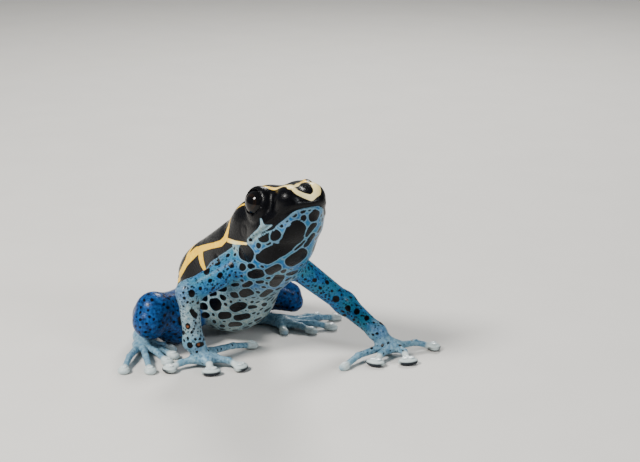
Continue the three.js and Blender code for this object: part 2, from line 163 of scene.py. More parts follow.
LEGS = {
    "right": dict(
        thigh=[(-6.8, -3.6, 6.8, 3.8), (-1.2, -11.6, 5.2, 4.5), (1.5, -17.2, 8.3, 3.5)],
        shank=[(2.0, -18.2, 6.6, 3.3), (-5.0, -15.2, 5.2, 2.9), (-14.0, -10.8, 1.9, 1.9)],
        bones=[(-13.2, -11.6, 1.6, 1.6), (-4.6, -17.3, 1.5, 1.25), (-0.8, -18.5, 1.25, 1.1)],
        digits=[
            [(-0.6, -16.8, 1.1), (0.8, -15.4, 1.0), (2.0, -14.3, 0.45), 0.85],
            [(0.3, -17.4, 1.2), (3.1, -16.5, 1.2), (5.6, -15.4, 0.5), 1.05],
            [(0.7, -18.3, 1.2), (4.2, -18.1, 1.3), (7.9, -17.7, 0.5), 1.15],
            [(0.7, -19.2, 1.2), (5.4, -20.8, 1.4), (10.4, -22.2, 0.5), 1.15],
            [(0.1, -20.1, 1.2), (4.0, -23.4, 1.3), (7.9, -26.2, 0.5), 1.1],
        ],
    ),
    "left": dict(
        thigh=[(-8.0, 3.4, 7.8, 4.0), (-6.4, 9.0, 6.8, 3.5), (-3.7, 13.8, 4.8, 2.4)],
        shank=[(-3.0, 14.2, 3.5, 2.1), (-8.6, 11.4, 3.4, 2.4), (-15.4, 6.4, 1.9, 1.9)],
        bones=[(-14.6, 6.6, 1.6, 1.6), (-3.6, 6.9, 1.5, 1.25), (1.0, 10.1, 1.25, 1.1)],
        digits=[
            [(1.8, 9.0, 1.1), (2.9, 8.6, 1.0), (4.0, 8.4, 0.45), 0.85],
            [(2.5, 10.4, 1.2), (4.6, 11.8, 1.2), (6.5, 13.0, 0.5), 1.05],
            [(2.4, 11.4, 1.2), (4.8, 14.6, 1.3), (6.5, 17.4, 0.5), 1.15],
            [(1.7, 12.0, 1.2), (2.4, 16.6, 1.4), (1.9, 21.1, 0.5), 1.15],
            [(0.9, 12.1, 1.2), (0.6, 15.4, 1.3), (-0.4, 18.2, 0.5), 1.1],
        ],
    ),
}
PALM = (2.3, 2.3, 1.1)
SOLE = (2.1, 2.1, 0.95)
DIGIT = dict(root=0.7, shaft=0.56, pad_length=1.25, pad_height=0.7)
ALL_DIGITS = [row for part in (*ARMS.values(), *LEGS.values()) for row in part["digits"]]
ROUND = dict(  # how widely the corner between two masses is filled, in millimetres
    socket=0.5, skull=1.8, face=1.4, trunk=2.4, neck=3.0,
    joint=0.4, disc=0.5, toes=0.3, bones=1.4, palm=1.2, hand=0.8,
    thigh=2.0, shank=1.5, hip=1.5, shoulder=1.3, ankle=0.8, tuck=0.35,
)

# %% The frame's origin, found from the right eye
low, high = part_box("right_eye")
eye_in_frame = np.array((low + high) / 2) * 1000
SHIFT = in_head(EYE["back"], -EYE["side"], EYE["up"]) - eye_in_frame
print("origin of the frame in the pose's millimetres:", SHIFT.round(3))

# %% [markdown]
# ## Flesh as a distance field
# Soft flesh has no edges where a limb joins the body. One way to model it is to sculpt, another is to join
# meshes and smooth the seam. Here a function gives the distance from any point to the flesh, negative
# inside. Two such distances can be merged with a rounded minimum, which fills the corner between them just
# as muscle and skin do, and a fold or a lid is a small number added to the distance.

# %% Distance to the simple masses
FAR = 1e3


def length(v):
    return np.sqrt(np.einsum("ij,ij->i", v, v))


def cone(a, b, radius_a, radius_b):
    a, b = np.array(a, np.float32), np.array(b, np.float32)
    axis = b - a

    def distance(p):
        q = p - a
        t = np.clip(q @ axis / (axis @ axis), 0, 1)
        return length(q - t[:, None] * axis) - (radius_a + t * (radius_b - radius_a))

    return distance


def ellipsoid(centre, radii, axes=np.eye(3)):
    centre, radii, axes = (np.array(value, np.float32) for value in (centre, radii, axes))

    def distance(p):
        q = ((p - centre) @ axes.T) / radii
        near = length(q)
        return near * (near - 1) / np.maximum(length(q / radii), 1e-6)

    return distance


def smooth_min(a, b, width):
    h = np.maximum(width - np.abs(a - b), 0) / width
    return np.minimum(a, b) - h * h * width / 4


def blend(fields, width):
    def distance(p):
        d = np.full(len(p), FAR, np.float32)
        for field in fields:
            d = smooth_min(d, field(p), width)
        return d

    return distance


def limb(joints, width):
    return blend([cone(a[:3], b[:3], a[3], b[3]) for a, b in zip(joints, joints[1:])], width)


def above_floor(field):
    return lambda p: np.maximum(field(p), -p[:, 2])


def near_only(field, points, reach=6.5):
    """A field that is worked out only near its points, to save time."""
    points = np.array([point[:3] for point in points])
    low, high = points.min(0) - reach, points.max(0) + reach

    def distance(p):
        d = np.full(len(p), FAR, np.float32)
        close = ((p > low) & (p < high)).all(1)
        d[close] = field(p[close])
        return d

    return distance


# %% Head and trunk
def both(make):
    return [make(side) for side in SIDES.values()]


def mirrored(point, side):
    return (point[0], point[1] * side, point[2])


def mass(centre, radii, pitch, side=1):
    return ellipsoid(mirrored(centre, side), radii, pitched(pitch))


def brow(side):
    start, end = (in_head(*mirrored(BROW[name], side)) for name in ("start", "end"))
    return cone(start, end, BROW["thick"], BROW["thin"])


def swelling(side, form):
    return ellipsoid(in_head(*mirrored(form["centre"], side)), form["radii"], HEAD_AXES)


def socket(side):
    return ellipsoid(in_head(EYE["back"], SOCKET["side"] * side, SOCKET["up"]), [SOCKET["radius"]] * 3)


skull = [ellipsoid(in_head(*centre), radii, pitched(HEAD_PITCH + tilt)) for centre, radii, tilt in SKULL]
skull += [swelling(side, form) for form in (NOSE, TEMPLE) for side in SIDES.values()]
skull = blend(skull + both(brow), ROUND["skull"])
head = blend([skull, blend(both(socket), ROUND["socket"])], ROUND["face"])
head = near_only(head, [in_head(-12, 0, 0)], 16)
paired = [mass(*row, side) for side in SIDES.values() for row in PAIRED]
trunk = blend([mass(*row) for row in MIDDLE] + paired, ROUND["trunk"])
body = blend([trunk, head], ROUND["neck"])

# %% Limbs, hands and feet
def digit(root, base, knuckle, pad, width):
    """A finger or toe with the wide disc at its end."""
    heading = math.degrees(math.atan2(pad[1] - knuckle[1], pad[0] - knuckle[0]))
    places = (root, base, knuckle, pad)
    thick, thin = DIGIT["root"], DIGIT["shaft"]
    joints = [(*place, radius) for place, radius in zip(places, (thick, thick, thin, thin))]
    disc = ellipsoid(pad, (DIGIT["pad_length"], width, DIGIT["pad_height"]), headed(heading))
    return near_only(blend([limb(joints, ROUND["joint"]), disc], ROUND["disc"]), places, 3.5)


def extremity(bones, digits, palm):
    """The last bones of a limb with its palm or sole and its digits."""
    centre = bones[-1][:3]
    middle = blend([limb(bones, ROUND["bones"]), ellipsoid(centre, palm)], ROUND["palm"])
    toes = blend([digit(centre, *row) for row in digits], ROUND["toes"])
    points = [*bones, *(row[2] for row in digits)]
    return near_only(above_floor(blend([middle, toes], ROUND["hand"])), points)


def long_part(joints, width):
    return near_only(above_floor(limb(joints, width)), joints)


arms = {name: extremity(arm["bones"], arm["digits"], PALM) for name, arm in ARMS.items()}
feet = {name: extremity(leg["bones"], leg["digits"], SOLE) for name, leg in LEGS.items()}
thighs = {name: near_only(limb(leg["thigh"], ROUND["thigh"]), leg["thigh"]) for name, leg in LEGS.items()}
shanks = {name: long_part(leg["shank"], ROUND["shank"]) for name, leg in LEGS.items()}

# %% [markdown]
# ## Lids, mouth, nostrils, eardrums and folds
# These are small, so they are added to the distance rather than modelled as masses: a lid is a ring that
# swells out round the eye, the mouth is a groove with a lip above it, and a fold is a groove along a path.

# %% Small forms of the head, and folds of the skin
GAZE = (0.3, 1.0, 0.12)  # forward, to the side, up
LID = dict(radius=2.2, thick=0.55, out=0.6, round=1.0)
EYE_CLEARANCE = 0.05
MOUTH = [(2, 0), (-2, -0.4), (-5, -1.2), (-8, -1.8), (-11, -2.1), (-12.8, -2.7)]  # forward and up
GROOVE = dict(depth=0.26, width=0.22, fade=1.5)  # the line of the mouth
LIP = dict(height=0.12, up=0.55, width=0.4)
NOSTRIL = dict(point=np.array([-0.9, -2.2, 2.9]), radius=0.34, depth=0.55)
NOSTRIL_RIM = dict(height=0.16, radius=0.6, width=0.3)
EARDRUM = dict(back=-12.9, up=0.2, radius=1.15, rim=0.06, rim_width=0.25, side=4)
FACE = dict(centre=(-8, -3, 0), reach=13, near=3)  # where these forms are worked out
FOLDS = [  # points of each fold, depth and width
    [[(-9.5, -6.0, 13.2), (-7.2, -8.4, 11.2), (-4.6, -9.4, 10.4)], 0.35, 0.5],  # thigh and flank
    [[(8.0, -7.6, 18.6), (9.2, -7.4, 15.0), (11.6, -6.8, 13.4)], 0.35, 0.55],  # armpit
    [[(15.6, -6.6, 21.6), (18.2, -6.2, 18.8), (19.6, -4.0, 17.4), (20.2, 0, 16.8)], 0.3, 0.55],  # throat
    [[(-12.0, -2.6, 9.4), (-9.6, -5.0, 8.0)], 0.3, 0.4],  # beside the vent
]
FOLD_REACH = 2  # a fold is worked out only this near to the skin


def unit(v):
    return np.array(v, float) / np.linalg.norm(v)


def path_distance(p, points):
    """The distance from each point to a broken line."""
    d = np.full(len(p), FAR, np.float32)
    for a, b in zip(points, points[1:]):
        d = np.minimum(d, cone(a, b, 0, 0)(p))
    return d


def wave(s, width):
    return np.exp(-((s / width) ** 2))


def mirror(p):
    """Brings the left half of space onto the right half."""
    return np.stack([p[:, 0], -np.abs(p[:, 1]), p[:, 2]], 1)


def eye_centre(side):
    return in_head(EYE["back"], EYE["side"] * side, EYE["up"])


def gaze(side):
    return unit(np.array([GAZE[0], GAZE[1] * side, GAZE[2]]) @ HEAD_AXES)


def face(d, p):
    """Adds the forms of the head to the distances d at the points p, all on the right half."""
    from_eye = p - eye_centre(-1)
    along = from_eye @ gaze(-1)
    across = length(from_eye - along[:, None] * gaze(-1))
    lid = np.hypot(across - LID["radius"], along - LID["out"]) - LID["thick"]
    d = smooth_min(d, lid, LID["round"])
    d = np.maximum(d, EYE["radius"] + EYE_CLEARANCE - length(from_eye))
    local = (p - SNOUT_TIP) @ HEAD_AXES.T
    line = np.stack([local[:, 0], np.zeros(len(p)), local[:, 2]], 1)
    to_mouth = path_distance(line, [(forward, 0, up) for forward, up in MOUTH])
    above = local[:, 2] - np.interp(local[:, 0], *zip(*MOUTH[::-1]))
    outside = np.clip((local[:, 0] - MOUTH[-1][0]) / GROOVE["fade"], 0, 1)
    groove = GROOVE["depth"] * wave(to_mouth, GROOVE["width"]) * outside
    d = d + groove - LIP["height"] * wave(above - LIP["up"], LIP["width"]) * outside
    to_nostril = length(local - NOSTRIL["point"])
    rim = NOSTRIL_RIM["height"] * wave(to_nostril - NOSTRIL_RIM["radius"], NOSTRIL_RIM["width"])
    d = d - rim + NOSTRIL["depth"] * wave(to_nostril, NOSTRIL["radius"])
    from_ear = local[:, [0, 2]] - np.array([EARDRUM["back"], EARDRUM["up"]])
    to_rim = np.hypot(from_ear[:, 0], from_ear[:, 1]) - EARDRUM["radius"]
    ear_rim = EARDRUM["rim"] * wave(to_rim, EARDRUM["rim_width"])
    return d + np.where(local[:, 1] < -EARDRUM["side"], ear_rim, 0)


def flesh(p):
    """The whole frog."""
    d = body(p)
    for name in SIDES:
        d = smooth_min(d, thighs[name](p), ROUND["hip"])
        d = smooth_min(d, arms[name](p), ROUND["shoulder"])
    half = mirror(p)
    in_face = (d < FACE["near"]) & (length(half - in_head(*FACE["centre"])) < FACE["reach"])
    d[in_face] = face(d[in_face], half[in_face])
    for points, depth, width in FOLDS:
        close = np.abs(d) < FOLD_REACH
        d[close] += depth * wave(path_distance(half[close], points), width)
    for name in SIDES:
        leg = smooth_min(shanks[name](p), feet[name](p), ROUND["ankle"])
        d = smooth_min(d, leg, ROUND["tuck"])
    return d


# %% [markdown]
# ## From the field to a mesh
# A grid of distances is turned into a mesh by surface nets: each small cube that the surface passes through
# gets one corner, and each grid edge that it crosses gets one face. The cubes far from the skin are left
# out by a first look at large blocks. The corners are then evened out and moved onto the field exactly, so
# the mesh is smooth and no face is a sliver.

# %% Surface nets
CELL = 0.3  # millimetres
BLOCK = 4  # cells in the side of a block
CUBE = [(i, j, k) for i in (0, 1) for j in (0, 1) for k in (0, 1)]
EDGES = [(a, b) for a in range(8) for b in range(a + 1, 8) if a ^ b in (1, 2, 4)]  # pairs of its corners
MARGIN = 0.9  # how much nearer the skin may be, in millimetres, than at a block's middle


def in_chunks(field, p, size=300_000):
    p = p.astype(np.float32)
    return np.concatenate([field(p[i : i + size]) for i in range(0, len(p), size)])


def grid_of(field, low, high):
    """Distances on a grid: exact near the surface, and only their sign is sure elsewhere."""
    blocks = np.ceil((high - low) / (CELL * BLOCK)).astype(int)
    index = np.stack(np.meshgrid(*(np.arange(n) for n in blocks), indexing="ij"), -1).reshape(-1, 3)
    centres = low + CELL * (index * BLOCK + (BLOCK - 1) / 2)
    rough = in_chunks(field, centres)
    grid = rough.reshape(blocks)
    for axis in range(3):
        grid = np.repeat(grid, BLOCK, axis)
    close = index[np.abs(rough) < CELL * BLOCK + MARGIN]
    inner = np.stack(np.meshgrid(*[np.arange(BLOCK)] * 3, indexing="ij"), -1).reshape(-1, 3)
    cells = (close[:, None] * BLOCK + inner[None]).reshape(-1, 3)
    grid[tuple(cells.T)] = in_chunks(field, low + CELL * cells)
    print("blocks near the skin:", len(close), "of", len(index), "after", seconds())
    return grid


def surface_nets(grid, low):
    """One corner in each cube that the surface passes, and one face across each edge that it crosses."""
    inside = grid < 0
    shape = np.array(grid.shape) - 1

    def shifted(offset):
        return inside[tuple(slice(o, o + n) for o, n in zip(offset, shape))]

    count = sum(shifted(corner).astype(np.int8) for corner in CUBE)
    cells = np.argwhere((count > 0) & (count < 8))
    values = np.stack([grid[tuple((cells + corner).T)] for corner in CUBE], 1)
    total, crossings = np.zeros((len(cells), 3)), np.zeros(len(cells))
    for a, b in EDGES:
        crossed = (values[:, a] < 0) != (values[:, b] < 0)
        t = np.where(crossed, values[:, a] / np.where(crossed, values[:, a] - values[:, b], 1), 0)[:, None]
        total += crossed[:, None] * (np.array(CUBE[a]) * (1 - t) + np.array(CUBE[b]) * t)
        crossings += crossed
    corners = low + CELL * (cells + total / crossings[:, None])
    number = np.full(shape, -1, np.int32)
    number[tuple(cells.T)] = np.arange(len(cells))
    faces = []
    for axis in range(3):
        u, v = (axis + 1) % 3, (axis + 2) % 3
        step = np.eye(3, dtype=int)
        here, there = shifted((0, 0, 0)), shifted(step[axis])
        at = np.argwhere(here != there)
        at = at[(at[:, u] > 0) & (at[:, v] > 0)]
        cubes = [at - a * step[u] - b * step[v] for a, b in ((0, 0), (1, 0), (1, 1), (0, 1))]
        quad = np.stack([number[tuple(cube.T)] for cube in cubes], 1)
        flip = ~here[tuple(at.T)]
        quad[flip] = quad[flip][:, ::-1]
        faces.append(quad)
    return corners, np.concatenate(faces)


# %% Even the mesh and bring it onto the field
TETRA = np.array([(1, 1, 1), (1, -1, -1), (-1, 1, -1), (-1, -1, 1)], np.float32)
LEAST_SLOPE = 0.3  # squared, so that no step runs away where the field is flat


def slope(field, p, step=0.06):
    """The direction in which the distance grows, which is the skin's normal."""
    return sum(t * in_chunks(field, p + t * step)[:, None] for t in TETRA) / (4 * step)


def onto(field, p, times=2):
    """Moves points along the slope until they lie on the surface."""
    for _ in range(times):
        g = slope(field, p)
        d = np.clip(in_chunks(field, p), -CELL, CELL)[:, None]
        p = p - d * g / np.maximum((g * g).sum(1), LEAST_SLOPE)[:, None]
    return p


def evened(p, faces, share=0.6):
    """Moves each corner towards the middle of its neighbours."""
    total, count = np.zeros_like(p), np.zeros(len(p))
    for a, b in ((0, 1), (1, 2), (2, 3), (3, 0)):
        for i, j in ((a, b), (b, a)):
            total += np.stack([np.bincount(faces[:, i], p[faces[:, j], n], len(p)) for n in range(3)], 1)
            count += np.bincount(faces[:, i], minlength=len(p))
    return p + share * (total / count[:, None] - p)


def largest_shell(p, faces):
    """Only the skin itself: a bubble inside the flesh is dropped."""
    label = np.arange(len(p))
    while True:
        least = label.copy()
        for a in range(4):
            np.minimum.at(least, faces[:, a], label[faces].min(1))
        if (least == label).all():
            break
        label = least[least]
    keep = label == np.bincount(label).argmax()
    number = np.cumsum(keep) - 1
    return p[keep], number[faces[keep[faces[:, 0]]]]


LOW, HIGH = np.array([-19.5, -29.5, -0.75]), np.array([32.0, 31.0, 36.0])  # a box with room round the frog
skin_points, skin_faces = surface_nets(grid_of(flesh, LOW, HIGH), LOW)
skin_points, skin_faces = largest_shell(skin_points, skin_faces)
skin_points = onto(flesh, evened(skin_points, skin_faces))
skin_points[:, 2] = np.maximum(skin_points[:, 2], 0)
print("skin:", len(skin_points), "corners,", 2 * len(skin_faces), "triangles, after", seconds())

# %% [markdown]
# ## The camera
# The photograph was taken close to the floor, from the frog's right front. The camera is made before the
# markings, because each marking is written down as a place in the photograph and is then carried along its
# line of sight onto the skin. It stays where it lands, so it is right from every other side too.

# %% Camera
PHOTO = (640, 462)  # pixels
AZIMUTH, ELEVATION = 60, 16  # degrees
DISTANCE = 300  # millimetres
PIXEL = 0.19  # millimetres at that distance
CENTRE_AT = (235, 335)  # the pixel of the pose's own origin
FOCAL = DISTANCE / PIXEL  # pixels


def looking(azimuth, elevation):
    a, e = math.radians(azimuth), math.radians(elevation)
    back = np.array([math.sin(a) * math.cos(e), -math.cos(a) * math.cos(e), math.sin(e)])
    right = np.array([math.cos(a), math.sin(a), 0])
    return right, np.cross(back, right), back


RIGHT, UP, BACK = looking(AZIMUTH, ELEVATION)
EYE_POINT = (
    BACK * DISTANCE
    - RIGHT * (CENTRE_AT[0] - PHOTO[0] / 2) * PIXEL
    + UP * (CENTRE_AT[1] - PHOTO[1] / 2) * PIXEL
)


def add_object(name, data):
    """An object at the origin, neither turned nor scaled."""
    piece = bpy.data.objects.new(name, data)
    bpy.context.scene.collection.objects.link(piece)
    return piece


camera_data = bpy.data.cameras.new("camera")
camera = add_object("camera", camera_data)
camera_data.sensor_width = 36
camera_data.lens = camera_data.sensor_width * FOCAL / PHOTO[0]
camera_data.clip_start, camera_data.clip_end = 0.01, 10
camera.location = Vector((EYE_POINT - SHIFT) / 1000)
camera.rotation_mode = "QUATERNION"
camera.rotation_quaternion = Vector(-BACK).to_track_quat("-Z", "Y")
bpy.context.scene.camera = camera
print("camera at", camera.location[:], "lens", round(camera_data.lens, 1), "mm")

# %% Carry a pixel onto the skin
SIGHT = dict(clear=45.0, steps=90, share=0.6, least=0.01, most=2)  # where to start, and how to step


def on_skin(pixels, field=flesh):
    """The places on the skin that the photograph shows at these pixels, as if only this flesh were there."""
    x, y = (np.array(pixels, float) - np.array(PHOTO) / 2).T[:, :, None]
    rays = RIGHT * x / FOCAL - UP * y / FOCAL - BACK
    rays /= length(rays)[:, None]
    reach = np.full(len(rays), DISTANCE - SIGHT["clear"])
    best, closest = reach.copy(), np.full(len(rays), FAR)
    for _ in range(SIGHT["steps"]):
        d = field((EYE_POINT + rays * reach[:, None]).astype(np.float32))
        nearer = d < closest
        best[nearer], closest[nearer] = reach[nearer], d[nearer]
        step = np.clip(d * SIGHT["share"], SIGHT["least"], SIGHT["most"])
        reach = reach + np.where(d > SIGHT["least"], step, 0)
    return onto(field, EYE_POINT + rays * best[:, None], 3)


# %% [markdown]
# ## Markings seen in the photograph
# A marking is a chain of round places, each an x, a y and a radius in the photograph's pixels. A round spot
# is one place, and a long one is a list of them. They are written down one by one, from the throat down.

# %% Throat, chest and belly
THROAT_BLOTCHES = [
    [(296.4, 230.5, 7.4), (292, 238.5, 6.8), (287.3, 243.3, 6.2), (274.5, 251.8, 5.6),
     (266, 257, 5.4), (261, 258, 4.2)],
    [(293.5, 261.5, 5.2), (302.5, 254.5, 5.4)], (246.3, 253.9, 6.8), [(263.9, 237.4, 3.8), (268, 232, 3.0)],
    (275.3, 235.6, 4.0), (258.5, 244.3, 2.4), [(266.6, 243.6, 1.4), (269.6, 243, 1.4)], (277.7, 242.4, 1.6),
    (314, 214.5, 4.2), [(308, 232.4, 2.2), (314.6, 223.4, 2.4)], [(308.2, 243.0, 2.6), (313.6, 234.4, 2.6)],
    [(296.6, 248.2, 1.5), (305, 240.4, 1.6)], (285.2, 219.8, 1.9), (293.7, 214.5, 2.0), (302.3, 210.7, 2.0),
    (309.2, 209.0, 1.7), (281, 226.2, 1.5), (303.3, 217.2, 1.9), (288.6, 224.2, 1.3),
]
BELLY_BLOTCHES = [
    (243.6, 268.9, 2.7), [(250.6, 267.8, 2.2), (253.8, 266.8, 2.2)],
    [(252.4, 276.8, 3.2), (260.4, 273.8, 3.4)], [(270, 272.2, 3.5), (277.2, 268.8, 3.5)], (285.2, 271.6, 1.8),
    [(291, 273.8, 2.5), (297, 271.4, 2.6)], [(275.4, 283.4, 3.9), (280.2, 278, 3.8)],
    [(284.4, 289.6, 2.9), (288.6, 285.2, 2.8)], [(233.2, 282.7, 3.0), (235.6, 282.2, 3.0)],
    (242.5, 280.2, 1.8), [(244.4, 286.2, 2.0), (251, 283.8, 1.9)], [(257.4, 283.4, 1.3), (263.4, 281.8, 1.3)],
    (267.6, 283.3, 1.5), [(219.6, 288, 3.4), (223, 288.4, 3.2)], (203, 296, 4.8), (214.3, 295, 2.8),
    (223.3, 298.5, 2.5), [(233.6, 295.2, 2.8), (236, 294.6, 2.8)], [(243.8, 294, 3.4), (247.8, 291.6, 3.6)],
    (257.5, 292.3, 1.7), [(263, 295.6, 3.1), (268, 292, 3.2)], [(274.4, 300.6, 2.8), (280.2, 296.6, 2.8)],
    (203.6, 305.7, 2.6), (215.3, 305.1, 4.8), (226, 305, 1.6), (231.3, 302, 1.1),
    [(235, 308.2, 3.5), (242, 305.4, 3.6)], (252.7, 301.4, 1.8), [(250.2, 307.2, 1.9), (254.8, 306.2, 1.9)],
    (264.6, 303.6, 2.3), [(266, 309.8, 1.5), (269.6, 308.2, 1.5)], [(201, 313.2, 2.6), (205, 314, 2.6)],
    [(221, 315.8, 2.6), (228, 315.8, 2.6)], [(237.6, 318.2, 2.8), (247.2, 315.4, 2.8)], (212.7, 321.1, 1.8),
    [(231, 324.8, 2.2), (238.4, 324.4, 2.2)], [(256, 319.5, 2.0), (260, 317.8, 2.0)], (222, 308.8, 1.0),
    (246.5, 299.3, 1.1), (240.2, 300.3, 1.0), (258.4, 312.8, 1.2),
]

# %% Arms and the right knee
ARM_SPOTS = [
    (218, 263.5, 2.7), (231.3, 266.2, 2.3), (219, 276.9, 2.7), (210, 280.6, 1.8), (206.8, 271, 3.4),
    (227.6, 255.4, 2.4), (235.4, 254.4, 1.7), (196, 280.6, 1.8), (200.4, 288.6, 1.9), (192.6, 292.6, 2.7),
    (230, 277.2, 1.4), (236, 273.6, 1.3), (224.4, 268.2, 1.1), (226.5, 281.6, 1.2), (212.2, 271.6, 1.1),
    (203.6, 283.6, 1.2), (184.4, 296.6, 1.5), (183.2, 305.2, 1.2), (197.8, 302.2, 1.4),
    [(192, 309.6, 2.2), (195.2, 314.2, 2.4)], [(180, 316.4, 1.6), (180.3, 323, 1.6)], (178.6, 306, 1.5),
    (187.6, 326.4, 2.7), (183.3, 332.9, 2.1), (192.4, 332.3, 1.4), (187.6, 338.2, 1.3), (189, 344.4, 2.7),
    [(197.4, 344.4, 2.2), (201.2, 344, 2.2)], (196, 351.6, 1.6), (196.4, 322.6, 1.2), (336, 299, 3.0),
    (347, 307, 2.6), (356.4, 311.6, 2.6), (367.6, 318.6, 2.6), (385, 321, 2.6), (395, 330, 2.2),
    (315.5, 281, 2.0), (326.6, 283.4, 2.0), (320, 289, 1.6), (332, 291, 1.6), (366, 309, 1.5),
    (354.4, 320.6, 1.6), (343.4, 315, 1.6), (387, 328.4, 1.7), (382.6, 346, 1.7), (388.4, 343.6, 1.6),
    (402, 346, 1.5), (411, 337.4, 1.5), (359.6, 347, 1.6), (371, 347.6, 1.6),
]
KNEE_RADIUS = 1.45
KNEE_PLACES = [
    (139, 301), (151, 298.4), (162, 302), (173.6, 311), (140, 312), (147, 309), (154, 318), (165, 313),
    (168, 323), (159.4, 327), (171, 331), (136, 316.4), (140, 319.4), (146, 323.4), (149, 316), (156, 309),
    (167, 305.4), (175, 320), (151, 330), (163, 333.6),
]
RUSTY = [(187.6, 326.6, 1.3), (198.6, 344.2, 1.5)]  # two spots with a brown middle

# %% Yellow stripes, cream round the snout, and where the black back ends
STRIPE = [
    (238.3, 207, 0.7), (231.5, 214.5, 0.8), (229, 225, 1.1), (227.4, 232, 1.7), (225.5, 239, 2.3),
    (221, 243.6, 2.3), (213, 246, 2.0), (202, 248.6, 2.6), (196, 252, 3.6), (191, 257, 3.6),
    (185.5, 264, 2.4), (181.5, 271, 2.0), (178.6, 278, 1.8), (177.4, 284, 1.5),
]
SPUR = [(201, 251, 2.4), (201, 258, 2.3), (202.5, 265, 2.0), (204.5, 270, 1.5)]
SNOUT_LOOP = [
    (289, 186.6, 2.4), (293, 185.2, 2.8), (298, 183.4, 2.2), (305, 182.0, 1.6), (312.4, 182.8, 2.2),
    (317, 187, 3.0), (316.4, 192.6, 3.0), (311.2, 196.4, 2.6), (304, 194.2, 2.3), (298, 191.8, 2.0),
    (293.4, 188.4, 1.8),
]
JAW_PATCH = [
    [(259.8, 217.6, 1.0), (261.4, 224, 2.2), (259.6, 229.4, 3.0), (254.6, 235.6, 3.2), (249, 241, 3.2)],
    [(270.6, 224.8, 0.8), (265.4, 226.4, 2.2), (261, 228.6, 2.6)],
]
FORK = [(229, 240.5, 1.6), (236, 243.2, 1.4), (246, 243.8, 0.9)]
SHOULDER_PATCH = [(234.8, 246.6, 2.2), (237.4, 251, 2.8)]
BACKLINE_START = [(35.0, 35.6), (28.4, 31.8)]  # x and z in front of the mouth and at its tip, in millimetres
BACKLINE = [
    (297, 208), (286, 215.6), (277.7, 223.3), (272, 229.5), (266, 231.5), (259, 236), (252, 240.4),
    (243, 243.6), (236, 246), (229, 250.6), (219, 256.4), (211, 263), (205, 271.4), (198, 279), (190, 286),
]
BACKLINE_END = [(-9.5, 8.0), (-13.0, 5.5)]  # x and z near the vent, in millimetres

# %% [markdown]
# ## Markings on the sides that the photograph doesn't show
# The spots of the trunk are repeated on the other side, where they have room, and the rest of the skin is
# filled by throwing spots at it: each new one is kept if it lies clear of those already there. Their size
# and spacing come from the part of the body. Where two spots meet, the net between them keeps its width.

# %% Where each part of the body is
PARTS = dict(
    body=body,
    throat=ellipsoid(in_head(-10.5, 0, -4.2), (10.5, 8.5, 4.8), HEAD_AXES),
    arm=blend([limb(arm["bones"][:2], 1) for arm in ARMS.values()], 1),
    forearm=blend([limb(arm["bones"][1:3], 1) for arm in ARMS.values()], 1),
    hand=blend([extremity(arm["bones"][2:], arm["digits"], PALM) for arm in ARMS.values()], 1),
    leg=blend([*thighs.values(), *shanks.values()], 1),
    tarsus=blend([limb(leg["bones"][:2], 1) for leg in LEGS.values()], 1),
    foot=blend([extremity(leg["bones"][1:], leg["digits"], SOLE) for leg in LEGS.values()], 1),
)


def part_shares(p, soft=0.9):
    """For each part of the body, how much a point belongs to it, from 0 to 1."""
    names = [name for name in PARTS if name != "throat"]
    distances = np.stack([in_chunks(PARTS[name], p) for name in names], 1)
    weights = np.exp(-(distances - distances.min(1, keepdims=True)) / (soft / 3))
    shares = dict(zip(names, (weights / weights.sum(1, keepdims=True)).T))
    shares["throat"] = shares["body"] * np.clip(0.5 - in_chunks(PARTS["throat"], p) / 2, 0, 1)
    return shares


skin_shares = part_shares(skin_points)

# %% Spots as chains of places in millimetres
SEEN_DEPTH = 0.55  # how far a spot runs on where the skin turns away from the camera
FLATTENING = np.eye(3) - (1 - SEEN_DEPTH) * np.outer(BACK, BACK)


def chains(table, field=flesh, swell=1.0):
    """Carries markings onto the skin: each becomes its points, their radii and a flattening matrix."""
    table = [marking if isinstance(marking, list) else [marking] for marking in table]
    flat = on_skin([place[:2] for marking in table for place in marking], field)
    made, first = [], 0
    for marking in table:
        points = flat[first : first + len(marking)]
        first += len(marking)
        made.append((points, np.array([place[2] for place in marking]) * PIXEL * swell, FLATTENING))
    return made


def to_chain(p, chain):
    """The distance to the edge of a marking."""
    points, radii, matrix = chain
    p, points = p @ matrix, points @ matrix
    if len(points) == 1:
        return length(p - points[0]) - radii[0]
    return np.min([cone(a, b, ra, rb)(p) for a, b, ra, rb in zip(points, points[1:], radii, radii[1:])], 0)


def mirrored_chain(chain):
    points, radii, matrix = chain
    swap = np.diag([1, -1, 1])
    return onto(flesh, points @ swap, 3), radii, swap @ matrix @ swap


def ball_round(chain):
    """The middle of a marking, and the radius of a ball that holds it."""
    middle = chain[0].mean(0)
    return middle, chain[1].max() + length(chain[0] - middle).max()


SWELL = dict(throat=1.4, belly=1.42, limbs=1.15, stripes=1.4, snout=1.1)  # so that the net comes out fine
MIRROR_GAP = 0.2  # a mirrored spot keeps this clear of the others
seen_trunk = chains(THROAT_BLOTCHES, body, SWELL["throat"]) + chains(BELLY_BLOTCHES, body, SWELL["belly"])
knee_spots = [(x, y, KNEE_RADIUS) for x, y in KNEE_PLACES]
spots = seen_trunk + chains(ARM_SPOTS + knee_spots, swell=SWELL["limbs"])
centres, sizes = map(np.array, zip(*map(ball_round, spots)))
for chain in map(mirrored_chain, seen_trunk):
    middle, size = ball_round(chain)
    if (length(centres - middle) > sizes + chain[1].max() + MIRROR_GAP).all():
        spots.append(chain)
        centres = np.vstack([centres, middle])
        sizes = np.append(sizes, size)
print("spots seen or mirrored:", len(spots))

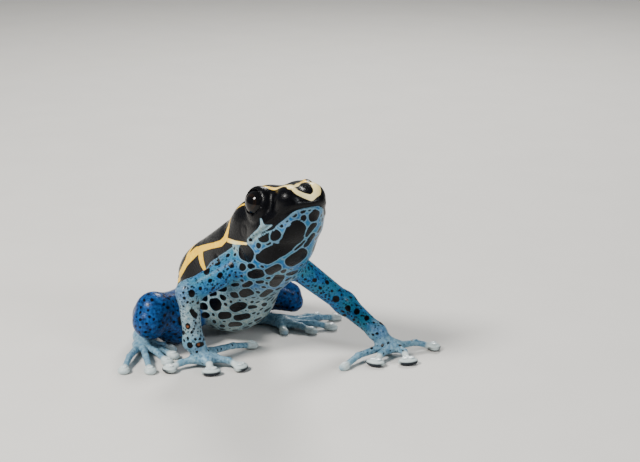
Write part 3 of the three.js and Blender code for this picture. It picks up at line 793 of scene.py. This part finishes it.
# %% Fill the rest with thrown spots
SPOT_RULES = dict(  # least and most radius, and the net's width, in millimetres
    body=(0.2, 0.85, 0.22),
    throat=(0.22, 1.3, 0.24),
    arm=(0.1, 0.3, 0.17),
    forearm=(0.1, 0.32, 0.19),
    hand=(0.12, 0.24, 0.45),
    leg=(0.14, 0.34, 0.36),
    tarsus=(0.16, 0.3, 0.7),
    foot=(0.12, 0.2, 1.1),
)
THROWS = 12000
THROAT_SHARE = 0.35  # from here on the throat's rule holds
dice = np.random.default_rng(7)
order = dice.permutation(len(skin_points))[:THROWS]
leading = np.array(list(SPOT_RULES))[np.argmax([skin_shares[name] for name in SPOT_RULES], 0)]
leading[skin_shares["throat"] > THROAT_SHARE] = "throat"
places = skin_points[order]
clear = np.min([to_chain(places, chain) for chain in spots], 0)
for share in (1.0, 0.6, 0.0):  # large ones first, then what fits between them
    for n in range(len(order)):
        least, most, net = SPOT_RULES[leading[order[n]]]
        room = clear[n] - net
        if room >= max(least, most * share):
            radius = min(room, most) * dice.uniform(0.8, 1.0)
            spots.append((places[n : n + 1], np.array([radius]), np.eye(3)))
            centres = np.vstack([centres, places[n]])
            sizes = np.append(sizes, radius)
            clear = np.minimum(clear, length(places - places[n]) - radius)
print("spots in all:", len(spots), "after", seconds())


# %% Measure the markings on the skin
WAVES, WAVES_HEIGHT = 5, 2.2  # how many waves push an edge, and about how high they add up
NET = 0.13  # half the width that the net keeps between two spots
NEIGHBOURHOOD = 2.5  # how far from a spot its distance is still asked for
TIE = 1e-6  # two pieces of a line are equally near at their common corner
BORDER = 0.26  # the pale line along the edge of the black back, in millimetres


def wander(p, size, amount, seed):
    """A smooth push in a random direction, so that edges aren't perfect arcs."""
    turn = np.random.default_rng(seed)
    push = np.zeros_like(p)
    for _ in range(WAVES):
        waves = turn.normal(size=(3, 3)) / size
        push += np.sin(p @ waves + turn.uniform(0, 6.28, 3))
    return p + amount * push / WAVES_HEIGHT


def spot_field(p):
    """Positive in a spot: the distance to its edge, or to the net that parts it from the next."""
    first, second = np.full(len(p), FAR), np.full(len(p), FAR)
    for chain, middle, size in zip(spots, centres, sizes):
        close = np.abs(p - middle).max(1) < size + NEIGHBOURHOOD
        d = to_chain(p[close], chain)
        second[close] = np.minimum(second[close], np.maximum(first[close], d))
        first[close] = np.minimum(first[close], d)
    return np.minimum(-first, (second - first) / 2 - NET)


def line_side(p, line, beyond=8):
    """The distance to a line drawn on the side of the frog, positive towards the back."""
    first, last = (end + beyond * unit(end - neighbour) for end, neighbour in (line[:2], line[:-3:-1]))
    line = [first, *line, last]
    flat = p[:, [0, 2]]
    best, side = np.full(len(p), FAR), np.zeros(len(p))
    for a, b in zip(line, line[1:]):
        axis = b - a
        q = flat - a
        t = np.clip(q @ axis / (axis @ axis), 0, 1)
        d = length(q - t[:, None] * axis)
        aside = -(axis[0] * q[:, 1] - axis[1] * q[:, 0]) / np.linalg.norm(axis)
        nearer = (d < best - TIE) | ((d < best + TIE) & (np.abs(aside) > np.abs(side)))
        best[nearer], side[nearer] = d[nearer], aside[nearer]
    return best * np.sign(side)


wandering = wander(skin_points, size=1.5, amount=0.22, seed=3)
wandering = wander(wandering, size=0.7, amount=0.07, seed=4)
ink = spot_field(wandering)
backline = np.vstack([BACKLINE_START, on_skin(BACKLINE, body)[:, [0, 2]], BACKLINE_END])
half = mirror(wander(skin_points, size=2.5, amount=0.14, seed=5))
on_trunk = (skin_shares["body"] - 0.5) * 3
night = np.minimum(line_side(half, backline), on_trunk)


def on_right(chain):
    """A chain for both sides: its places are brought to the right half."""
    points, radii, matrix = chain
    return mirror(points), radii, matrix


patches = chains([*JAW_PATCH, SHOULDER_PATCH], body)
pale_patch = np.min([to_chain(half, on_right(chain)) for chain in patches], 0)
night = np.minimum(night, pale_patch)
ink = np.maximum(np.minimum(ink, -night - BORDER), night)

# %% Stripes: the seen ones, and how they run on over the back
BROW_STRIPE = [  # in the head's own directions, right side, and radius
    (-6.2, -3.9, 6.0, 0.3), (-8.2, -4.2, 6.6, 0.28), (-10.2, -4.1, 6.0, 0.3), (-12.4, -4.6, 5.2, 0.3),
]
RUMP_STRIPE = [(-9.8, -6.4, 11.0, 0.45), (-12.2, -3.8, 8.6, 0.4), (-12.8, -1.8, 6.8, 0.3)]  # and radius
CROSSBAR = [(-4.8, -3.2, 19.4, 0.5), (-4.0, 0.0, 20.4, 0.45)]  # over the small of the back
CROSSBAR_FROM = 10  # the place of the side stripe where it starts
JOIN = dict(snout=0.45, neck=0.2, rump=0.36, crossbar=0.5)  # radii where stripes meet


def laid_on(rows, steps=6, moves=12):
    """A path on the body, with enough places between the given ones to follow its curve."""
    rows = np.array(rows)
    share = np.linspace(0, len(rows) - 1, steps * (len(rows) - 1) + 1)
    path = np.stack([np.interp(share, np.arange(len(rows)), rows[:, n]) for n in range(4)], 1)
    return onto(body, path[:, :3], moves), path[:, 3], np.eye(3)


stripes = [on_right(chain) for chain in chains([STRIPE, SPUR, FORK], body, SWELL["stripes"])]
side_stripe = stripes[0][0]
loop = chains([SNOUT_LOOP], body, SWELL["snout"])[0]
brow_rows = [(*in_head(*row[:3]), row[3]) for row in BROW_STRIPE]
stripes.append(laid_on([(*loop[0][0], JOIN["snout"]), *brow_rows, (*side_stripe[0], JOIN["neck"])]))
stripes.append(laid_on([(*side_stripe[-1], JOIN["rump"]), *RUMP_STRIPE]))
stripes.append(laid_on([(*side_stripe[CROSSBAR_FROM], JOIN["crossbar"]), *CROSSBAR]))
both_sides = [to_chain(half, chain) for chain in stripes]
far_x, far_y, far_z, far_radius = brow_rows[0]
bridge = laid_on([(*loop[0][1], JOIN["snout"]), (far_x, -far_y, far_z, far_radius)])
gold = -np.minimum.reduce([*both_sides, to_chain(wandering, loop), to_chain(wandering, bridge)])
gold = np.minimum(gold, on_trunk)
for name, field in (("yellow", gold), ("black", ink)):
    print(f"{name} covers {(field > 0).mean() * 100:.1f} % of the skin")

# %% Tones that change over the body
SNOUT_CREAM = dict(centre=np.array([-1.5, 0, 1.5]), reach=5.5, most=1.3)
PATCH_CREAM = 1.5  # how far the cream runs round a pale patch, in millimetres
PALE = dict(below=17, over=9, belly=0.9, forearm=0.6, arm=0.1)  # two heights, then amounts
local = (skin_points - SNOUT_TIP) @ HEAD_AXES.T
cream = SNOUT_CREAM["most"] - length(local - SNOUT_CREAM["centre"]) / SNOUT_CREAM["reach"]
cream = np.maximum(np.clip(cream, 0, 1), np.clip(1 - np.abs(pale_patch) / PATCH_CREAM, 0, 1))
low_belly = np.clip((PALE["below"] - skin_points[:, 2]) / PALE["over"], 0, 1)
on_right_side = skin_points[:, 1] < 0
pale = skin_shares["body"] * low_belly * PALE["belly"]
pale = pale + skin_shares["forearm"] * on_right_side * PALE["forearm"]
pale = pale + skin_shares["arm"] * on_right_side * PALE["arm"]
pale = np.clip(np.maximum(pale, 0.5 - pale_patch), 0, 1)
to_pad = np.min([length(skin_points - np.array(row[2])) - row[3] for row in ALL_DIGITS], 0)
rust = -np.min([to_chain(skin_points, chain) for chain in chains(RUSTY)], 0)
attributes = dict(
    ink=ink,
    gold=gold,
    cream=cream,
    pale=pale,
    deep=skin_shares["leg"],
    hand=skin_shares["hand"] + skin_shares["foot"] + 0.8 * skin_shares["tarsus"],
    rust=rust,
    pad=-to_pad,
    limb=1 - skin_shares["body"],
    height=skin_points[:, 2],
)
for name, values in attributes.items():
    print(f"{name:7} {values.min():8.2f} to {values.max():7.2f}")


# %% [markdown]
# ## A small helper for materials
# A material is a net of nodes. Written out one by one the nodes hide the arithmetic, so one class wraps a
# socket and lets Python's own operators add the Math nodes.

# %% Materials as arithmetic
class Wire:
    """A value in a material: arithmetic on it adds Math nodes."""

    def __init__(self, finish, socket):
        self.finish, self.socket = finish, socket

    def math(self, operation, *values):
        return self.finish.add("ShaderNodeMath", dict(operation=operation), dict(enumerate(values)))

    def __add__(self, other):
        return self.math("ADD", self, other)

    def __sub__(self, other):
        return self.math("SUBTRACT", self, other)

    def __rsub__(self, other):
        return self.math("SUBTRACT", other, self)

    def __mul__(self, other):
        return self.math("MULTIPLY", self, other)

    __radd__, __rmul__ = __add__, __mul__

    def edge(self, middle=0.0, width=0.1):
        """0 below the middle and 1 above it, with a soft step."""
        sockets = {"Value": self, "From Min": middle - width / 2, "From Max": middle + width / 2}
        return self.finish.add("ShaderNodeMapRange", dict(interpolation_type="SMOOTHSTEP"), sockets)


class Finish:
    """A material that is built from wires."""

    def __init__(self, name, **settings):
        self.material = bpy.data.materials.new(name)
        self.material.use_nodes = True
        self.tree = self.material.node_tree
        self.shader = self.tree.nodes["Principled BSDF"]
        self.set(self.shader, {key.replace("_", " "): value for key, value in settings.items()})

    def set(self, node, sockets):
        for name, value in sockets.items():
            socket = node.inputs[name]
            if isinstance(value, Wire):
                self.tree.links.new(value.socket, socket)
            else:
                socket.default_value = value

    def add(self, kind, settings=None, sockets=None, output=0):
        node = self.tree.nodes.new(kind)
        for name, value in (settings or {}).items():
            setattr(node, name, value)
        self.set(node, sockets or {})
        return Wire(self, node.outputs[output])

    def mix(self, factor, a, b):
        return self.add("ShaderNodeMix", dict(data_type="RGBA"), {0: factor, 6: a, 7: b}, 2)

    def attribute(self, name):
        return self.add("ShaderNodeAttribute", dict(attribute_name=name), output="Fac")

    def millimetres(self):
        place = self.add("ShaderNodeTexCoord", output="Object")
        return self.add("ShaderNodeVectorMath", dict(operation="SCALE"), {0: place, 3: 1000.0})

    def noise(self, place, scale, detail=2.0, roughness=0.5, distortion=0.0):
        sockets = dict(Vector=place, Scale=scale, Detail=detail, Roughness=roughness, Distortion=distortion)
        return self.add("ShaderNodeTexNoise", None, sockets, "Fac")

    def cells(self, place, scale):
        return self.add("ShaderNodeTexVoronoi", None, dict(Vector=place, Scale=scale), "Distance")

    def bump(self, height, strength, metres):
        sockets = dict(Strength=strength, Distance=metres, Height=height)
        return self.add("ShaderNodeBump", None, sockets, "Normal")

    def finish(self, **sockets):
        self.set(self.shader, {key.replace("_", " "): value for key, value in sockets.items()})
        return self.material


def colour(red, green, blue):
    """A colour as it is seen on a screen, from 0 to 255, turned into light."""
    light = (((c / 255 + 0.055) / 1.055) ** 2.4 if c > 10 else c / 255 / 12.92 for c in (red, green, blue))
    return (*light, 1.0)


# %% [markdown]
# ## The frog's skin
# The skin is smooth and always moist. Up close it is a fine leather of tiny grains, and light slides over
# it in small bright patches. The colour is layered as on the animal: first the blue or pale ground, then
# the black spots, then the yellow. The edges come from the distances measured above, so they stay sharp.

# %% Skin material
skin_finish = Finish("frog skin", IOR=1.4, Specular_IOR_Level=0.12, Coat_Roughness=0.1, Coat_IOR=1.36)
mix, noise = skin_finish.mix, skin_finish.noise
place = skin_finish.millimetres()
cloudy = noise(place, 0.32, 3)
mottle = noise(place, 1.7, 3)
fine = noise(place, 6.0, 2)
on = {name: skin_finish.attribute(name) for name in attributes}

# %% Ground colours
sky = mix(mottle.edge(0.5, 0.5), colour(10, 66, 126), colour(44, 124, 182))
teal = mix(cloudy.edge(0.52, 0.4), sky, colour(50, 118, 142))
shell = mix(mottle.edge(0.5, 0.6), colour(98, 128, 136), colour(172, 186, 178))
cobalt = mix(mottle.edge(0.5, 0.5), colour(7, 32, 68), colour(24, 78, 140))
slate = mix(mottle.edge(0.5, 0.6), colour(78, 118, 142), colour(140, 172, 186))
stipple = fine.edge(0.5, 0.16) * (1 - on["hand"]) * 0.4
rim = on["ink"].edge(-0.16, 0.24) * (1 - on["limb"]) * 0.6
speckle = 1 - (skin_finish.cells(place, 1.5) + fine * 0.16).edge(0.36, 0.12)
speckle = speckle * (on["limb"] * (1 - on["hand"] * 0.6) * (1 - on["deep"] * 0.6) * 0.85)
ground = mix(on["pale"].edge(0.45, 0.9), teal, shell)
ground = mix(stipple, ground, colour(10, 46, 74))
ground = mix(on["deep"], ground, cobalt)
ground = mix(on["hand"] * 0.85, ground, slate)
ground = mix(rim, ground, colour(122, 158, 174))
ground = mix(speckle, ground, colour(4, 14, 28))

# %% Markings over the ground, and painted shade under the toe discs
black = mix(mottle.edge(0.55, 0.5), colour(3, 3, 5), colour(7, 8, 13))
yellow = mix(mottle.edge(0.5, 0.5), colour(248, 186, 16), colour(252, 212, 64))
warm = mix(on["cream"], yellow, colour(238, 226, 170))
# Painted shade: the lower part of each toe disc, below 0.85 mm over the floor, is darkened where it meets the
# floor.
disc_underside_shade = (0.85 - on["height"]).edge(0.0, 0.3) * on["pad"].edge(0.1, 0.3)
painted = mix((on["ink"] + (fine - 0.5) * 0.1).edge(0.0, 0.14), ground, black)
painted = mix((on["rust"] + (mottle - 0.5) * 0.3).edge(0.0, 0.3), painted, colour(112, 66, 40))
painted = mix((on["gold"] + (fine - 0.5) * 0.08).edge(0.0, 0.12), painted, warm)
painted = mix((on["pad"] + 0.25).edge(0.0, 0.7) * 0.8, painted, colour(206, 216, 212))
# The painted shade goes on last: dark grey on the lower part of each toe disc.
painted = mix(disc_underside_shade, painted, colour(34, 38, 44))

# %% Grain and gloss
grains, leather = skin_finish.cells(place, 3.4), noise(place, 2.6, 4, 0.6, 0.6)
relief = grains * 0.5 + leather * 0.6 + noise(place, 9.0, 2) * 0.25
bump = skin_finish.bump(relief, 0.42, 0.00012)
wet = noise(place, 0.9, 2)
gloss = dict(Roughness=0.22 + wet * 0.16, Coat_Weight=0.04 + wet * 0.14)
skin_material = skin_finish.finish(Base_Color=painted, Normal=bump, **gloss)
print("skin material:", len(skin_finish.tree.nodes), "nodes")


# %% Make the skin's mesh and hand it its numbers
def to_frame(points):
    return (np.asarray(points) - SHIFT) / 1000


def mesh_piece(name, points, faces, material):
    mesh = bpy.data.meshes.new(name)
    mesh.from_pydata(to_frame(points).tolist(), [], [list(map(int, face)) for face in faces])
    mesh.materials.append(material)
    mesh.shade_smooth()
    mesh.validate()
    return add_object(name, mesh)


skin = mesh_piece("skin", skin_points, skin_faces, skin_material)
for name, values in attributes.items():
    layer = skin.data.attributes.new(name, "FLOAT", "POINT")
    layer.data.foreach_set("value", values.astype(np.float32))
a, b, c, d = (skin_points[skin_faces[:, n]] for n in range(4))
volume = np.einsum("ij,ij", np.cross(b, c) + np.cross(c, d), a) / 6000
print(f"the skin holds {volume:.2f} cubic centimetres, and its faces point", "out" if volume > 0 else "in")

# %% [markdown]
# ## Eyes
# The eye is a wet ball, almost black, with a dark bronze iris round a wide pupil. A globe is turned so that
# its pole looks along the gaze: the rings of faces then run round the pupil, and the material can measure
# from the pole. The globe is a touch flatter in front, so that it stays inside its solid.

# %% Eyes
eye_finish = Finish(
    "wet eye", IOR=1.38, Specular_IOR_Level=0.2, Roughness=0.08, Coat_Roughness=0.02, Coat_Weight=0.15
)
iris = eye_finish.attribute("iris")
streaks = eye_finish.noise(eye_finish.millimetres(), 3.2, 3, 0.6, 0.8)
bronze = eye_finish.mix(streaks.edge(0.5, 0.3), colour(12, 9, 8), colour(34, 22, 15))
ring = (iris + (streaks - 0.5) * 0.04).edge(0.4, 0.05) * (1 - iris.edge(0.6, 0.08))
eye_material = eye_finish.finish(Base_Color=eye_finish.mix(ring * 0.8, colour(6, 6, 8), bronze))


def make_eye(name, side, turns=48, rows=28, flatter=0.012):
    centre, axis = eye_centre(side), gaze(side)
    across = unit(np.cross(axis, HEAD_AXES[2]))
    upward = np.cross(across, axis)
    points, out = [], []
    for row in range(1, rows):
        angle = math.pi * row / rows
        radius = EYE["radius"] * min(1 - flatter * math.cos(angle * 2), 1)
        for turn in range(turns):
            t = 2 * math.pi * turn / turns
            radial = across * math.cos(t) + upward * math.sin(t)
            points.append(centre + (axis * math.cos(angle) + radial * math.sin(angle)) * radius)
            out.append(math.sin(angle) if angle < math.pi / 2 else 1.0)
    pole = axis * EYE["radius"] * (1 - flatter)
    points += [centre + pole, centre - pole]
    front, back = len(points) - 2, len(points) - 1

    def corner(row, turn):
        return row * turns + turn % turns

    faces = [
        (corner(r, t), corner(r + 1, t), corner(r + 1, t + 1), corner(r, t + 1))
        for r in range(rows - 2)
        for t in range(turns)
    ]
    faces += [(front, corner(0, t), corner(0, t + 1)) for t in range(turns)]
    faces += [(back, corner(rows - 2, t + 1), corner(rows - 2, t)) for t in range(turns)]
    piece = mesh_piece(name, points, faces, eye_material)
    piece.data.attributes.new("iris", "FLOAT", "POINT").data.foreach_set("value", out + [0.0, 1.0])
    return piece


eyes = {name: make_eye(f"{name}_eyeball", side) for name, side in SIDES.items()}
print("eyes at", {name: (eye_centre(side) - SHIFT).round(2).tolist() for name, side in SIDES.items()})

# %% [markdown]
# ## Toe shields
# Each toe ends in a sticky disc, and on top of each disc sit two small pale shields, side by side. There
# are thirty-six and they differ only in size and heading, so Geometry Nodes make them: one point for each
# disc carries the disc's heading and width, and a shield is put on both sides of it.

# %% One point for each toe disc
INSET = 0.05  # how far the shields sit back from the middle of the disc, in millimetres
tops, turns, widths = [], [], []
for base, knuckle, pad, width in ALL_DIGITS:
    heading = unit(np.subtract(pad, knuckle) * (1, 1, 0))
    tops.append(np.array(pad) + (0, 0, DIGIT["pad_height"]) - heading * INSET)
    turns += [0.0, 0.0, math.atan2(heading[1], heading[0])]
    widths.append(width)
discs = bpy.data.meshes.new("toe discs")
discs.from_pydata(to_frame(tops).tolist(), [], [])
discs.attributes.new("turn", "FLOAT_VECTOR", "POINT").data.foreach_set("vector", turns)
discs.attributes.new("width", "FLOAT", "POINT").data.foreach_set("value", widths)
shields = add_object("toe_shields", discs)
print(len(tops), "toe discs")

# %% Shield material
shield_finish = Finish("toe shield", IOR=1.45, Coat_Roughness=0.1, Coat_Weight=0.5)
place, noise = shield_finish.millimetres(), shield_finish.noise
chalk = shield_finish.mix(noise(place, 3.0, 3).edge(0.5, 0.5), colour(176, 200, 208), colour(232, 236, 232))
shield_bump = shield_finish.bump(noise(place, 7.0, 2), 0.3, 0.00005)
roughness = 0.26 + noise(place, 4.0, 2) * 0.2
shield_material = shield_finish.finish(Base_Color=chalk, Roughness=roughness, Normal=shield_bump)

# %% The node tree's inputs
tree = bpy.data.node_groups.new("toe shields", "GeometryNodeTree")
tree.interface.new_socket("Geometry", in_out="INPUT", socket_type="NodeSocketGeometry")
tree.interface.new_socket("Geometry", in_out="OUTPUT", socket_type="NodeSocketGeometry")
inputs = {"Length": 0.62, "Breadth": 0.36, "Height": 0.16, "Spread": 0.4}  # parts of a disc, or millimetres
sockets = {
    name: tree.interface.new_socket(name, in_out="INPUT", socket_type="NodeSocketFloat") for name in inputs
}


def node(kind, settings=None, links=None):
    """A node of the tree: a link may be a socket, or a node whose first output is meant."""
    made = tree.nodes.new(kind)
    for name, value in (settings or {}).items():
        setattr(made, name, value)
    for key, value in (links or {}).items():
        if isinstance(value, bpy.types.Node):
            value = value.outputs[0]
        if isinstance(value, bpy.types.NodeSocket):
            tree.links.new(value, made.inputs[key])
        else:
            made.inputs[key].default_value = value
    return made


def product(a, b):
    return node("ShaderNodeMath", dict(operation="MULTIPLY"), {0: a, 1: b})


# %% One shield on each side of a disc
entry = node("NodeGroupInput").outputs
bean = node("GeometryNodeMeshUVSphere", None, {"Segments": 14, "Rings": 8, "Radius": 0.001})
smooth_bean = node("GeometryNodeSetShadeSmooth", None, {"Geometry": bean})
turn_of = node("GeometryNodeInputNamedAttribute", dict(data_type="FLOAT_VECTOR"), {"Name": "turn"})
width_of = node("GeometryNodeInputNamedAttribute", dict(data_type="FLOAT"), {"Name": "width"})
joined = node("GeometryNodeJoinGeometry")
for side in SIDES.values():
    breadth, aside = product(width_of, entry["Breadth"]), product(width_of, entry["Spread"])
    scale = node("ShaderNodeCombineXYZ", None, {0: entry["Length"], 1: breadth, 2: entry["Height"]})
    offset = node("ShaderNodeCombineXYZ", None, {1: product(aside, 0.001 * side)})
    settings = {"Points": entry["Geometry"], "Instance": smooth_bean, "Rotation": turn_of, "Scale": scale}
    put = node("GeometryNodeInstanceOnPoints", None, settings)
    settings = {"Instances": put, "Translation": offset, "Local Space": True}
    tree.links.new(node("GeometryNodeTranslateInstances", None, settings).outputs[0], joined.inputs[0])
real = node("GeometryNodeRealizeInstances", None, {"Geometry": joined})
coloured = node("GeometryNodeSetMaterial", None, {"Geometry": real, "Material": shield_material})
node("NodeGroupOutput", None, {"Geometry": coloured})


# %% Run the tree and keep its result as a plain mesh
def settle(piece, tree, values):
    """Sets the inputs by identifier, evaluates once, and leaves the result without its modifier."""
    modifier = piece.modifiers.new("shape", "NODES")
    modifier.node_group = tree
    for name, value in values.items():
        modifier[sockets[name].identifier] = value
    bpy.context.view_layer.update()
    evaluated = piece.evaluated_get(bpy.context.evaluated_depsgraph_get())
    mesh = bpy.data.meshes.new_from_object(evaluated)
    piece.modifiers.clear()
    piece.data = mesh
    used = mesh.materials[mesh.polygons[0].material_index]
    mesh.materials.clear()  # the empty slot of the bare ball goes with the others
    mesh.materials.append(used)
    mesh.polygons.foreach_set("material_index", [0] * len(mesh.polygons))
    return mesh


shield_mesh = settle(shields, tree, inputs)
print("toe shields:", len(shield_mesh.polygons), "faces,", shield_mesh.materials[0].name)

# %% [markdown]
# ## Studio
# A plain pale floor that runs on far behind, one large soft light at the upper left as in the photograph,
# a weaker one from the right, and one from behind that draws the wet edge of the back.

# %% Floor
REACH = 4.0  # metres to each side
corners = [(x * REACH, y * REACH, 0) for x, y in ((-1, -1), (1, -1), (1, 1), (-1, 1))]
floor_mesh = bpy.data.meshes.new("floor")
floor_mesh.from_pydata(corners, [], [(0, 1, 2, 3)])
floor_finish = Finish("pale floor", Roughness=0.7)
dust = floor_finish.noise(floor_finish.add("ShaderNodeTexCoord", output="Object"), 60.0, 3)
dusty = floor_finish.mix(dust, colour(206, 204, 199), colour(214, 212, 207))
floor_mesh.materials.append(floor_finish.finish(Base_Color=dusty))
floor = add_object("floor", floor_mesh)
floor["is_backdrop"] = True

# %% Lights
world = bpy.data.worlds.new("studio")
bpy.context.scene.world = world
world.use_nodes = True
background = world.node_tree.nodes["Background"].inputs
background["Color"].default_value = (0.82, 0.86, 0.9, 1)
background["Strength"].default_value = 0.26
MIDDLE_OF_FROG = Vector((0, 0, 0.015))


def soft_light(name, across, up, back, size, power, tint):
    """A round light, placed as the camera sees the frog: to the right, up, and towards the camera."""
    data = bpy.data.lights.new(name, "AREA")
    data.shape, data.size, data.energy, data.color = "DISK", size, power, tint
    lamp = add_object(name, data)
    flat_back = Vector((BACK[0], BACK[1], 0)).normalized()
    lamp.location = MIDDLE_OF_FROG + Vector(RIGHT) * across + Vector((0, 0, 1)) * up + flat_back * back
    lamp.rotation_mode = "QUATERNION"
    lamp.rotation_quaternion = (lamp.location - MIDDLE_OF_FROG).to_track_quat("Z", "Y")


soft_light("key light", -0.28, 0.34, 0.2, 0.13, 4.2, (1.0, 0.97, 0.93))
soft_light("fill light", 0.36, 0.2, 0.26, 0.12, 0.9, (0.92, 0.96, 1.0))
soft_light("edge light", 0.05, 0.3, -0.34, 0.14, 1.6, (1.0, 0.98, 0.95))

# %% [markdown]
# ## Hand the pieces to the frame
# The still frog is one body. The skin stands for every solid of flesh, and each eyeball for its own solid.

# %% Bodies and what each piece replaces
flesh_nodes = [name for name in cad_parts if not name.endswith("eye")]
for piece in (skin, shields, *eyes.values()):
    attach(piece, "root")
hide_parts(*flesh_nodes)
for name, piece in eyes.items():
    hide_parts(f"{name}_eye")
print("the skin replaces", len(flesh_nodes), "solids")

# %% Sizes
made_box = [[float(value) for value in corner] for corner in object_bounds()]
for name, box in (("CAD", cad_box), ("visual", made_box)):
    print(name, "box, mm:", [[round(value * 1000, 2) for value in corner] for corner in box])
print("made in", seconds())
